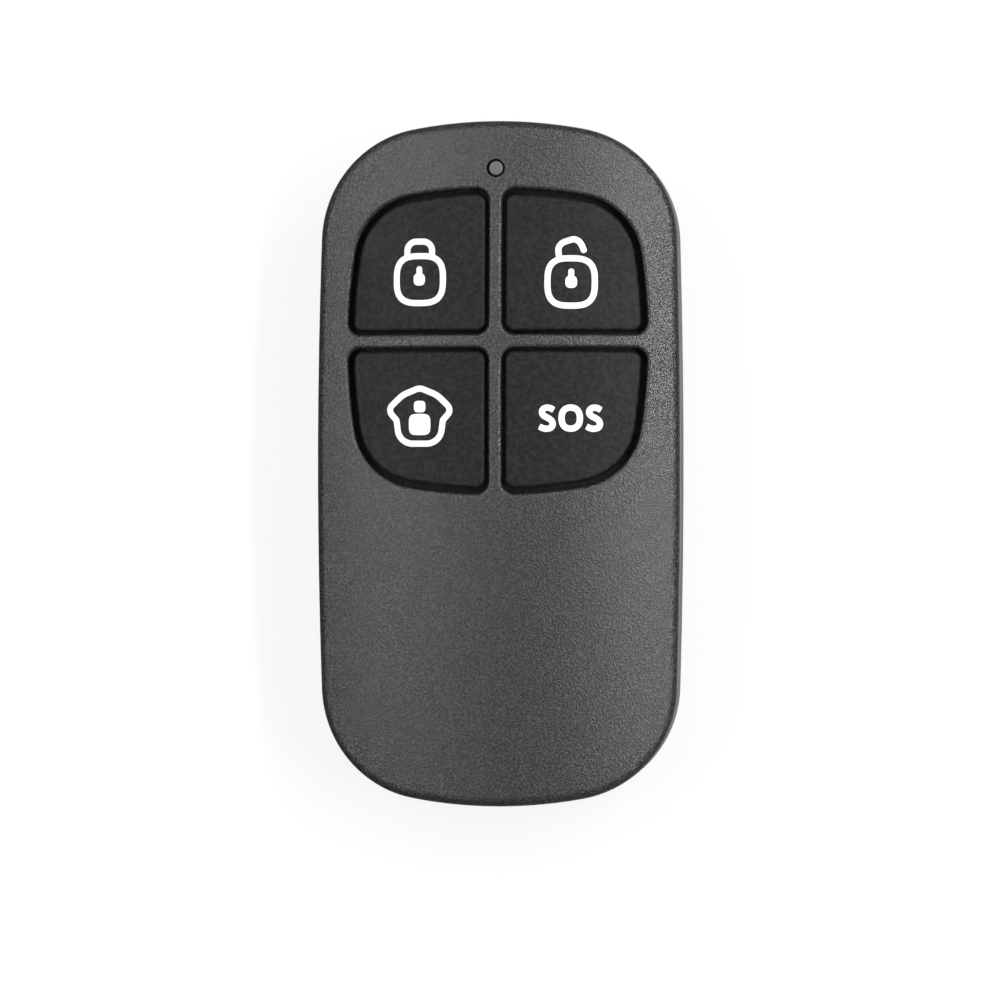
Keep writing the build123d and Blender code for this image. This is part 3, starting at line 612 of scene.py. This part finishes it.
def rounded_polygon(corners: Sequence[Point], radii: Sequence[float], count: int) -> np.ndarray:
    """Closed polygon with each corner swept by an arc that touches both of its sides.

    Args:
        corners: The sharp corners in order.
        radii: Radius of each corner.
        count: How many points to give.

    Returns:
        The outline's points.
    """
    point = np.array(corners, float)
    to_last, to_next = np.roll(point, 1, 0) - point, np.roll(point, -1, 0) - point
    to_last /= np.linalg.norm(to_last, axis=1, keepdims=True)
    to_next /= np.linalg.norm(to_next, axis=1, keepdims=True)
    angle = np.arccos(np.clip((to_last * to_next).sum(1), -1, 1))
    radius = np.array(radii, float)
    middle = to_last + to_next
    middle /= np.linalg.norm(middle, axis=1, keepdims=True)
    centre = point + middle * (radius / np.sin(angle / 2))[:, None]
    reach = (radius / np.tan(angle / 2))[:, None]
    start, end = point + to_last * reach - centre, point + to_next * reach - centre
    share = np.linspace(0, 1, ARC_POINTS)[None, :, None]
    sweep = (np.pi - angle)[:, None, None]
    arcs = np.sin((1 - share) * sweep) * start[:, None] + np.sin(share * sweep) * end[:, None]
    arcs = arcs / np.sin(sweep) + centre[:, None]
    return resample(arcs.reshape(-1, 2), count, True)


def around(centre: Point, places: Sequence[Point]) -> list[Point]:
    """Moves places that are given from a centre to where that centre lies."""
    return [(centre[0] + across, centre[1] + up) for across, up in places]


def smooth_line(points: Sequence[Point], count: int) -> np.ndarray:
    """Open line through points, as a cubic between each two whose slope follows their neighbours.

    Args:
        points: Points that the line passes through.
        count: How many points to give.

    Returns:
        The line's points.
    """
    given = np.array(points, float)
    padded = np.concatenate([2 * given[:1] - given[1:2], given, 2 * given[-1:] - given[-2:-1]])
    before, start, end, after = padded[:-3, None], padded[1:-2, None], padded[2:-1, None], padded[3:, None]
    share = np.linspace(0, 1, SPAN_POINTS, endpoint=False)[None, :, None]
    line = 0.5 * (2 * start + (end - before) * share + (2 * before - 5 * start + 4 * end - after) * share**2
                  + (3 * start - before - 3 * end + after) * share**3)
    return resample(np.concatenate([line.reshape(-1, 2), given[-1:]]), count, False)


@dataclass(frozen=True)
class Padlock:
    """Body of a padlock legend, in millimetres.

    Attributes:
        centre: Centre of the body.
        width: Width of its middle line.
        height: Height of its middle line.
        keyhole: Place of the keyhole's bulb from the centre.
    """

    centre: Point
    width: float
    height: float
    keyhole: Point


CLOSED_LOCK = Padlock((-6.46, 15.56), 3.99, 3.98, (-0.04, 0.01))
OPEN_LOCK = Padlock((6.37, 15.31), 3.95, 4.0, (0.01, 0.01))


@dataclass
class Keypad:
    """Keys with their printed legends, the mat, its domes and the contact pills.

    Attributes:
        names: The keys' names.
        side_drop_mm: How far the crown falls from its top to the cover's sides.
        end_drop_mm: How far the crown falls from its top to the cover's ends.
        key_sunk_mm: How far the keys lie under the crown.
        ink_mm: Thickness of the ink over the key.
        ink_under_mm: Thickness of a stroke that another one covers at a joint.
        ink_root_mm: How far the ink reaches into the key.
        ink_smooth_degrees: Angle above which an edge of the ink stays sharp.
        stroke_mm: Width of the legends' strokes.
        letter_stroke_mm: Width of the letters' strokes.
        keyhole_stroke_mm: Width of the keyholes' stems.
        profile_shares: Where a stroke's top has corners, as shares of its half width.
        patch_shares: Sizes of a filled shape's inner rings, as shares of its outline.
        end_steps: Points along the rounding of a stroke's end, its start among them.
        end_least_share: Least half width of a stroke's end, as a share of the stroke's.
        dome_radius_mm: Radius of a dome's foot.
        dome_top_radius_mm: Radius of a dome's top.
        dome_skin_mm: Thickness of a dome's skin.
        dome_plate_mm: Thickness of a dome's plate.
        dome_steps: Points round a dome.
        dome_smooth_degrees: Angle above which an edge of a dome stays sharp.
        key_travel_mm: How far a key moves; not used.
        top_mm: Height of the crown's top, which build() reads from the frame.
        crown_across_mm: Radius of the crown across, from the cover's width.
        crown_along_mm: Radius of the crown along, from the cover's length.
    """

    names: tuple[str, ...] = ("arm", "disarm", "home", "sos")
    side_drop_mm: float = 3.1
    end_drop_mm: float = 1.4
    key_sunk_mm: float = 0.2
    ink_mm: float = 0.016
    ink_under_mm: float = 0.011
    ink_root_mm: float = 0.05
    ink_smooth_degrees: float = 9.0
    stroke_mm: float = 0.52
    letter_stroke_mm: float = 0.53
    keyhole_stroke_mm: float = 0.5
    profile_shares: tuple[float, float] = (0.9, 0.45)
    patch_shares: tuple[float, ...] = (0.96, 0.66, 0.33)
    end_steps: int = 9
    end_least_share: float = 0.02
    dome_radius_mm: float = 2.9
    dome_top_radius_mm: float = 1.8
    dome_skin_mm: float = 0.4
    dome_plate_mm: float = 0.25
    dome_steps: int = 48
    dome_smooth_degrees: float = 35.0
    key_travel_mm: float = 0.8
    top_mm: float = field(init=False, default=0.0)
    crown_across_mm: float = field(init=False, default=0.0)
    crown_along_mm: float = field(init=False, default=0.0)

    def build(self, nodes: Nodes) -> list[bpy.types.Object]:
        """Dresses the keypad's nodes, and adds its legends and domes.

        Args:
            nodes: The CAD nodes by name.

        Returns:
            The new pieces.
        """
        low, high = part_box("front_cover")
        self.top_mm = high.z / MM
        half_width, half_length = (high.x - low.x) / 2 / MM, (high.y - low.y) / 2 / MM
        self.crown_across_mm = (half_width**2 + self.side_drop_mm**2) / (2 * self.side_drop_mm)
        self.crown_along_mm = (half_length**2 + self.end_drop_mm**2) / (2 * self.end_drop_mm)
        dress(nodes, KEY_RUBBER, *[f"key_{name}" for name in self.names])
        dress(nodes, CARBON, *[f"contact_pill_{name}" for name in self.names])
        dress(nodes, SILICONE, "keypad_mat", *[f"dome_{name}" for name in self.names])
        drawings = (self.closed_lock(), self.open_lock(), self.house(), self.letters())
        made = []
        for name, drawing in zip(self.names, drawings):
            legend = make_piece(f"legend_{name}", Shape.joined(drawing), LEGEND_INK.material(),
                                self.ink_smooth_degrees)
            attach(legend, f"key_{name}")
            made += [legend, self.dome(name)]
        return made

    def surface_mm(self, x: np.ndarray, y: np.ndarray) -> np.ndarray:
        """Height of the keys' crowned face: a ring's outside, of one radius across and one along.

        Args:
            x: Places across, in millimetres.
            y: Places along, in millimetres.

        Returns:
            Heights in millimetres.
        """
        ring = self.crown_along_mm - self.crown_across_mm
        reach = ring + np.sqrt((self.crown_across_mm - self.key_sunk_mm) ** 2 - x**2)
        return self.top_mm - self.crown_along_mm + np.sqrt(reach**2 - y**2)

    def draped(self, x: np.ndarray, y: np.ndarray, over: np.ndarray) -> np.ndarray:
        """Lays places in millimetres on the key's face, at heights over it, as points in metres."""
        return np.stack([x, y, self.surface_mm(x, y) + over], -1).reshape(-1, 3) * MM

    def stroke(self, path: np.ndarray, width: float, closed: bool, ends: tuple[End, End] = (End.CUT, End.CUT),
               under: bool = False) -> Shape:
        """Carries a flat, low profile along a path on the key's face.

        The profile's half width is constant, and at an open end of power p it falls as the p-th
        root of 1 - share^p over the end's length.

        Args:
            path: Middle line, in millimetres.
            width: Whole width of the stroke.
            closed: Whether the path returns to its start.
            ends: How an open stroke starts and ends.
            under: Whether another stroke covers this one where they join.

        Returns:
            The stroke's surface.
        """
        line, half = path, np.full(len(path), width / 2)
        if not closed:
            share = np.sin(np.linspace(0, np.pi / 2, self.end_steps))[1:]
            parts = []
            for end, tip, before in ((ends[0], path[0], path[1]), (ends[1], path[-1], path[-2])):
                power, length = end.value
                out = (tip - before) / np.linalg.norm(tip - before)
                narrow = np.maximum((1 - share**power) ** (1 / power), self.end_least_share) * width / 2
                parts.append((tip + out * (share * length * width / 2)[:, None], narrow))
            line = np.concatenate([parts[0][0][::-1], path, parts[1][0]])
            half = np.concatenate([parts[0][1][::-1], half, parts[1][1]])
            along = np.gradient(line, axis=0)
        else:
            along = np.roll(line, -1, 0) - np.roll(line, 1, 0)
        along /= np.linalg.norm(along, axis=1, keepdims=True)
        side = np.stack([-along[:, 1], along[:, 0]], -1)
        outer, inner = self.profile_shares
        across = np.array([-1.0, -1.0, -outer, -inner, 0.0, inner, outer, 1.0, 1.0])
        ink = self.ink_under_mm if under else self.ink_mm
        over = np.array([-self.ink_root_mm, ink / 2, ink, ink, ink, ink, ink, ink / 2, -self.ink_root_mm])
        place = line[:, None] + side[:, None] * (half[:, None] * across)[..., None]
        points = self.draped(place[..., 0], place[..., 1], np.broadcast_to(over, place.shape[:2]))
        rows, columns = place.shape[:2]
        faces = [grid_faces(rows, columns, closed, True)]
        if not closed:
            corner = np.arange(1, columns - 1)
            faces += [np.stack([np.full_like(corner, start), start + corner, start + corner + 1], -1)
                      for start in (0, (rows - 1) * columns)]
        return Shape(points, tuple(faces))

    def patch(self, outline: np.ndarray) -> Shape:
        """Fills a closed outline with rings that shrink to its middle, over a wall into the key.

        Args:
            outline: Outline, in millimetres, that its middle sees all of.

        Returns:
            The patch's surface.
        """
        middle = outline.mean(0)
        share = np.array([1.0, 1.0, *self.patch_shares])
        over = np.array([-self.ink_root_mm, self.ink_mm / 2] + [self.ink_mm] * len(self.patch_shares))
        place = middle + (outline - middle) * share[:, None, None]
        rings, count = place.shape[:2]
        points = self.draped(place[..., 0], place[..., 1], np.broadcast_to(over[:, None], (rings, count)))
        pole_over = np.array([-self.ink_root_mm, self.ink_mm])
        poles = self.draped(np.repeat(middle[0], 2), np.repeat(middle[1], 2), pole_over)
        corner = np.arange(count)
        following = (corner + 1) % count
        low, high = len(points), len(points) + 1
        last = (rings - 1) * count
        fans = [np.stack([np.full_like(corner, low), corner, following], -1),
                np.stack([np.full_like(corner, high), last + corner, last + following], -1)]
        return Shape(np.concatenate([points, poles]), (grid_faces(rings, count, False, True), *fans))

    def lock_body(self, lock: Padlock) -> list[Shape]:
        """Body of a padlock, with a keyhole: a rounded bulb under a short upright stem.

        Args:
            lock: The padlock's sizes.

        Returns:
            Its shapes.
        """
        body = squircle(lock.centre, lock.width, lock.height, power=3.0, count=140)
        x, y = around(lock.centre, [lock.keyhole])[0]
        bulb = squircle((x, y), width=0.99, height=1.04, power=2.7)
        stem = smooth_line([(x, y + rise) for rise in (0.1, 0.5, 0.88)], count=24)
        return [self.stroke(body, self.stroke_mm, True), self.patch(bulb),
                self.stroke(stem, self.keyhole_stroke_mm, False, (End.CUT, End.ROUND), under=True)]

    def closed_lock(self) -> list[Shape]:
        """Closed padlock, whose hoop is the top of a rounded rectangle.

        Returns:
            Its shapes.
        """
        x, y = CLOSED_LOCK.centre
        left, right, low, high, foot = x - 1.09, x + 1.05, y - 3.0, y + 3.22, y + 1.9
        bend, hidden_bend = 0.78, 0.3
        places = [(left, low), (left, high), (right, high), (right, low)]
        loop = rounded_polygon(places, [hidden_bend, bend, bend, hidden_bend], count=400)
        loop = loop[loop[:, 1] > foot]
        order = np.argsort(np.arctan2(loop[:, 1] - foot, x - loop[:, 0]))
        hoop = resample(loop[order], count=90, closed=False)
        return [*self.lock_body(CLOSED_LOCK), self.stroke(hoop, self.stroke_mm, False, under=True)]

    def open_lock(self) -> list[Shape]:
        """Open padlock, whose hoop is swung up and free at its right end.

        Returns:
            Its shapes.
        """
        bends = [(-0.97, 1.95), (-1.06, 2.5), (-1.04, 2.9), (-0.76, 3.28), (-0.26, 3.49), (0.24, 3.61),
                 (0.62, 3.45), (0.88, 3.1), (1.05, 2.7)]
        hoop = smooth_line(around(OPEN_LOCK.centre, bends), count=90)
        return [*self.lock_body(OPEN_LOCK),
                self.stroke(hoop, self.stroke_mm, False, (End.CUT, End.ROUND), under=True)]

    def house(self) -> list[Shape]:
        """House with a wide roof, and a person standing inside.

        Returns:
            Its shapes.
        """
        x, y = -6.43, 4.06
        peak = ((0.0, 2.35), 0.9)
        right = [((1.5, 1.73), 2.2), ((2.79, 0.49), 0.59), ((2.0, -0.38), 0.16), ((1.75, -2.37), 1.3)]
        left = [((-place[0], place[1]), radius) for place, radius in reversed(right)]
        places, radii = zip(peak, *right, *left)
        walls = rounded_polygon(around((x, y), places), radii, count=240)
        head = squircle((x, y + 0.76), width=0.99, height=0.98, power=3.6)
        torso = squircle((x, y - 0.75), width=1.86, height=1.8, power=3.8)
        return [self.stroke(walls, self.stroke_mm, True), self.patch(head), self.patch(torso)]

    def letters(self) -> list[Shape]:
        """The letters SOS, drawn with plain even strokes.

        Returns:
            Their shapes.
        """
        x, y = 6.365, 3.83
        bends = [(0.46, 0.74), (0.25, 0.85), (-0.05, 0.88), (-0.33, 0.75), (-0.43, 0.48), (-0.28, 0.21),
                 (0.05, 0.02), (0.36, -0.2), (0.47, -0.5), (0.34, -0.79), (0.0, -0.9), (-0.32, -0.86),
                 (-0.55, -0.75)]
        lines = [smooth_line(around((x + shift, y), bends), count=90) for shift in (-1.975, 1.965)]
        width, height = 2.06 - self.letter_stroke_mm, 2.3 - self.letter_stroke_mm
        ring = squircle((x, y), width, height, power=2.3, count=120)
        ends = (End.BLUNT, End.BLUNT)
        return [*[self.stroke(line, self.letter_stroke_mm, False, ends) for line in lines],
                self.stroke(ring, self.letter_stroke_mm, True)]

    def dome(self, name: str) -> bpy.types.Object:
        """Silicone dome in place of its CAD node, fixed to the case.

        It is a closed profile turned round the dome's axis.

        Args:
            name: The key's name.

        Returns:
            The piece.
        """
        low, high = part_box(f"dome_{name}")
        middle, base, top = (low + high) / 2, low.z / MM, high.z / MM
        outer, inner = self.dome_radius_mm, self.dome_radius_mm - self.dome_skin_mm
        cap, cap_inner = self.dome_top_radius_mm, self.dome_top_radius_mm - self.dome_skin_mm
        plate = top - self.dome_plate_mm
        radius = np.array([inner, outer, cap, cap, 0.0, 0.0, cap_inner])
        height = np.array([base, base, plate, top, top, plate, plate])
        turn = np.linspace(0, 2 * np.pi, self.dome_steps, endpoint=False)[:, None]
        x, y = middle.x / MM + radius * np.cos(turn), middle.y / MM + radius * np.sin(turn)
        points = np.stack([x, y, np.broadcast_to(height, x.shape)], -1).reshape(-1, 3) * MM
        shape = Shape(points, (grid_faces(len(turn), len(radius), True, True),))
        made = make_piece(f"soft_dome_{name}", shape, SILICONE.material(), self.dome_smooth_degrees)
        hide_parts(f"dome_{name}")
        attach(made, "case")
        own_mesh(made)
        return made


def dress(nodes: Nodes, finish: Finish, *names: str) -> None:
    """Gives CAD nodes a finish through their slots.

    Args:
        nodes: The CAD nodes by name.
        finish: Finish to give.
        *names: Names of the nodes.
    """
    for name in names:
        for place in nodes[name].material_slots:
            place.material = finish.material()
        LOG.info("%s wears %s", name, finish.name)


class Casing:
    """Covers, battery door, light pipe, pin and screws."""

    def build(self, nodes: Nodes) -> None:
        """Dresses the casing's nodes.

        Args:
            nodes: The CAD nodes by name.
        """
        dress(nodes, CASING, "front_cover")
        dress(nodes, BACK_CASING, "rear_cover", "battery_door")
        dress(nodes, SEAL, "door_seal")
        dress(nodes, LIGHT_PIPE, "light_pipe")
        dress(nodes, STEEL, "lanyard_pin", "case_screws")


class Electronics:
    """Board, what it carries, the coin cell and its contacts."""

    def build(self, nodes: Nodes) -> None:
        """Dresses the nodes inside the case.

        Args:
            nodes: The CAD nodes by name.
        """
        dress(nodes, BOARD, "circuit_board")
        dress(nodes, GOLD, "contact_pads", "antenna_loop")
        dress(nodes, CHIP, "encoder_chip", "rf_transistor", "chip_resistors")
        dress(nodes, CERAMIC, "chip_capacitors")
        dress(nodes, TIN, "saw_resonator", "crystal")
        dress(nodes, LAMP, "led")
        dress(nodes, CELL_STEEL, "cell_can", "cell_cap")
        dress(nodes, CELL_RING, "cell_gasket")
        dress(nodes, SPRING, "negative_contact", "positive_contact")


@dataclass(frozen=True)
class Softbox:
    """One soft area lamp.

    Attributes:
        name: Name of the lamp.
        lean_degrees: How far it leans from overhead towards +X.
        pitch_degrees: How far it leans from overhead towards +Y.
        distance: How far off it stands, in metres.
        width: Its width across the lean, in metres.
        length: Its length along +Y, in metres.
        radiance: Brightness of its face.
        mirrored: Whether glossy surfaces show it.
    """

    name: str
    lean_degrees: float
    pitch_degrees: float
    distance: float
    width: float
    length: float
    radiance: float
    mirrored: bool = True


@dataclass
class Studio:
    """Pale floor, soft lamps, surroundings and camera.

    Attributes:
        scale_px_per_mm: Size of the object in the picture.
        frame_px: Width of the picture.
        lens_mm: Focal length.
        sensor_mm: Width of the sensor.
        yaw_degrees: How far the camera stands towards +X.
        aim_px: Place of the object's middle in the picture.
        aim_height: Height that the picture's scale holds for, in metres.
        clip: Nearest and furthest distance that the camera sees, in metres.
        floor_size: Width of the floor, in metres.
        floor_steps: Points along each side of the floor.
        floor_gap_mm: How far the floor lies under the object.
        floor_grey: Colour of the floor as the lamps light it.
        floor_glow: Strength of the plain white mixed in where the floor is seen directly.
        floor_glow_share: Share of that white.
        sky_up: Brightness of the mirrored sky by how far up it is.
        sky_along: Its dimming towards -Y.
        sky_across: Its dimming towards +X.
        ground_up: Brightness of what the underside mirrors, by how far up it is.
        ground_across: Its dimming towards -X.
        matt_up: Brightness of the surroundings for matt light, by how far up it is.
        boxes: The lamps.
    """

    scale_px_per_mm: float = 11.742
    frame_px: float = 1000.0
    lens_mm: float = 180.0
    sensor_mm: float = 36.0
    yaw_degrees: float = 5.2
    aim_px: Point = (500.0, 464.0)
    aim_height: float = 0.0055
    clip: tuple[float, float] = (0.01, 20.0)
    floor_size: float = 4.0
    floor_steps: int = 9
    floor_gap_mm: float = 0.02
    floor_grey: float = 0.8
    floor_glow: float = 1.04
    floor_glow_share: float = 0.8
    sky_up: Ramp = (0.55, 0.87, 0.06, 0.78)
    sky_along: Ramp = (-0.35, 0.0, 0.5, 1.0)
    sky_across: Ramp = (0.0, 0.25, 1.0, 0.5)
    ground_up: Ramp = (-0.85, -0.5, 0.65, 0.1)
    ground_across: Ramp = (-0.4, 0.3, 0.3, 1.0)
    matt_up: Ramp = (-0.3, 0.7, 0.24, 0.32)
    boxes: tuple[Softbox, ...] = (
        Softbox("lamp_left", -38.0, 13.0, 0.7, 0.05, 0.8, 17.0),
        Softbox("lamp_right", 42.0, 13.0, 0.7, 0.05, 0.8, 38.0),
        Softbox("lamp_head", 0.0, 34.0, 0.8, 0.5, 0.16, 3.2),
        Softbox("lamp_under", 180.0, -12.0, 0.8, 0.7, 0.9, 1.6, mirrored=False),
    )

    def build(self) -> None:
        """Makes the camera, the floor, the lamps and the surroundings."""
        self.camera()
        self.floor()
        for box in self.boxes:
            self.lamp(box)
        self.surroundings()
        bpy.context.scene.view_settings.view_transform = "Standard"

    def camera(self) -> None:
        """Looks down on the object from over its keys, a little from +X."""
        frame_width = self.frame_px / self.scale_px_per_mm * MM
        distance = frame_width * self.lens_mm / self.sensor_mm
        yaw = math.radians(self.yaw_degrees)
        middle = self.frame_px / 2
        aim_x = (middle - self.aim_px[0]) / self.scale_px_per_mm * MM
        aim_y = (self.aim_px[1] - middle) / self.scale_px_per_mm * MM
        data = bpy.data.cameras.new("camera")
        data.lens, data.sensor_width = self.lens_mm, self.sensor_mm
        data.clip_start, data.clip_end = self.clip
        made = bpy.data.objects.new("camera", data)
        made.location = (aim_x + distance * math.sin(yaw), aim_y, self.aim_height + distance * math.cos(yaw))
        made.rotation_euler = (0, yaw, 0)
        bpy.context.scene.collection.objects.link(made)
        bpy.context.scene.camera = made

    def lamp(self, box: Softbox) -> None:
        """Hangs one lamp, turned to face the object.

        Args:
            box: The lamp's place, size and brightness.
        """
        lean, pitch = math.radians(box.lean_degrees), math.radians(box.pitch_degrees)
        data = bpy.data.lights.new(box.name, "AREA")
        data.shape = "RECTANGLE"
        data.size, data.size_y = box.width, box.length
        data.energy = box.radiance * math.pi * box.width * box.length
        made = bpy.data.objects.new(box.name, data)
        flat = math.cos(pitch) * box.distance
        made.location = (math.sin(lean) * flat, math.sin(pitch) * box.distance, math.cos(lean) * flat)
        made.rotation_euler = (-pitch, lean, 0)
        made.visible_camera = False
        made.visible_glossy = box.mirrored
        bpy.context.scene.collection.objects.link(made)

    def floor(self) -> None:
        """Lays a plain pale floor just under the object, clear when seen from below."""
        half, steps = self.floor_size / 2, self.floor_steps
        side = np.linspace(-half, half, steps)
        x, y = np.meshgrid(side, side)
        points = np.stack([x, y, np.full_like(x, -self.floor_gap_mm * MM)], -1).reshape(-1, 3)
        shape = Shape(points, (grid_faces(steps, steps, False, False),))
        made = make_piece("floor", shape, self.floor_material(), smooth_degrees=30.0)
        if made.data.polygons[0].normal.z < 0:
            made.data.flip_normals()
        made.visible_diffuse = False
        made.visible_glossy = False
        made.visible_shadow = False

    def floor_material(self) -> bpy.types.Material:
        """Pale floor that the camera and clear things see nearly white, clear from below.

        Returns:
            The material.
        """
        material = bpy.data.materials.new("pale_floor")
        material.use_nodes = True
        material.node_tree.nodes.clear()
        tree = Tree(material.node_tree)
        matt = tree.node("BsdfDiffuse", Color=opaque((self.floor_grey,) * 3))
        white = tree.node("Emission", Color=WHITE, Strength=self.floor_glow)
        share = tree.math("MULTIPLY", self.seen_directly(tree), self.floor_glow_share)
        blend = tree.node("MixShader", in0=share, in1=matt.outputs[0], in2=white.outputs[0])
        below = tree.node("NewGeometry").outputs["Backfacing"]
        clear = tree.node("BsdfTransparent")
        shown = tree.node("MixShader", in0=below, in1=blend.outputs[0], in2=clear.outputs[0])
        tree.node("OutputMaterial", Surface=shown.outputs[0])
        return material

    @staticmethod
    def seen_directly(tree: Tree) -> Socket:
        """Whether a ray comes from the camera, or from a glossy or clear surface.

        Args:
            tree: Tree that the nodes go in.

        Returns:
            1 for such a ray, else 0.
        """
        path = tree.node("LightPath").outputs
        seen = tree.math("MAXIMUM", path["Is Camera Ray"], path["Is Glossy Ray"])
        return tree.math("MAXIMUM", seen, path["Is Transmission Ray"])

    def surroundings(self) -> None:
        """Soft surroundings, white to the camera, with a darker horizon in what the surfaces mirror."""
        world = bpy.data.worlds.new("studio")
        world.use_nodes = True
        world.node_tree.nodes.clear()
        tree = Tree(world.node_tree)
        way = tree.node("SeparateXYZ", Vector=tree.node("TexCoord").outputs["Generated"]).outputs
        up = way["Z"]
        path = tree.node("LightPath").outputs
        dimming = tree.math("MULTIPLY", tree.spread(way["Y"], *self.sky_along),
                            tree.spread(way["X"], *self.sky_across))
        sky = tree.math("MULTIPLY", tree.spread(up, *self.sky_up), dimming)
        ground = tree.math("MULTIPLY", tree.spread(up, *self.ground_up),
                           tree.spread(way["X"], *self.ground_across))
        mirrored = tree.math("MAXIMUM", sky, ground)
        matt = tree.spread(up, *self.matt_up)
        lit = tree.node("Mix", in0=path["Is Glossy Ray"], in2=matt, in3=mirrored).outputs[0]
        soft = tree.node("Background", Color=WHITE, Strength=lit)
        white = tree.node("Background", Color=WHITE, Strength=1.0)
        seen = tree.math("MAXIMUM", path["Is Camera Ray"], path["Is Transmission Ray"])
        blend = tree.node("MixShader", in0=seen, in1=soft.outputs[0], in2=white.outputs[0])
        tree.node("OutputWorld", Surface=blend.outputs[0])
        bpy.context.scene.world = world


def corners(box: tuple) -> list[list[float]]:
    """Lowest and highest corner of a box as plain lists."""
    return [list(corner) for corner in box]


def main() -> None:
    """Loads the frame, dresses it and builds the scene round it."""
    logging.basicConfig(level=logging.INFO, format="%(message)s")
    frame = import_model()
    nodes = frame["nodes"]
    Studio().build()
    Casing().build(nodes)
    Electronics().build(nodes)
    for piece in Keypad().build(nodes):
        LOG.info("%s has %d faces", piece.name, len(piece.data.polygons))


if __name__ == "__main__":
    main()
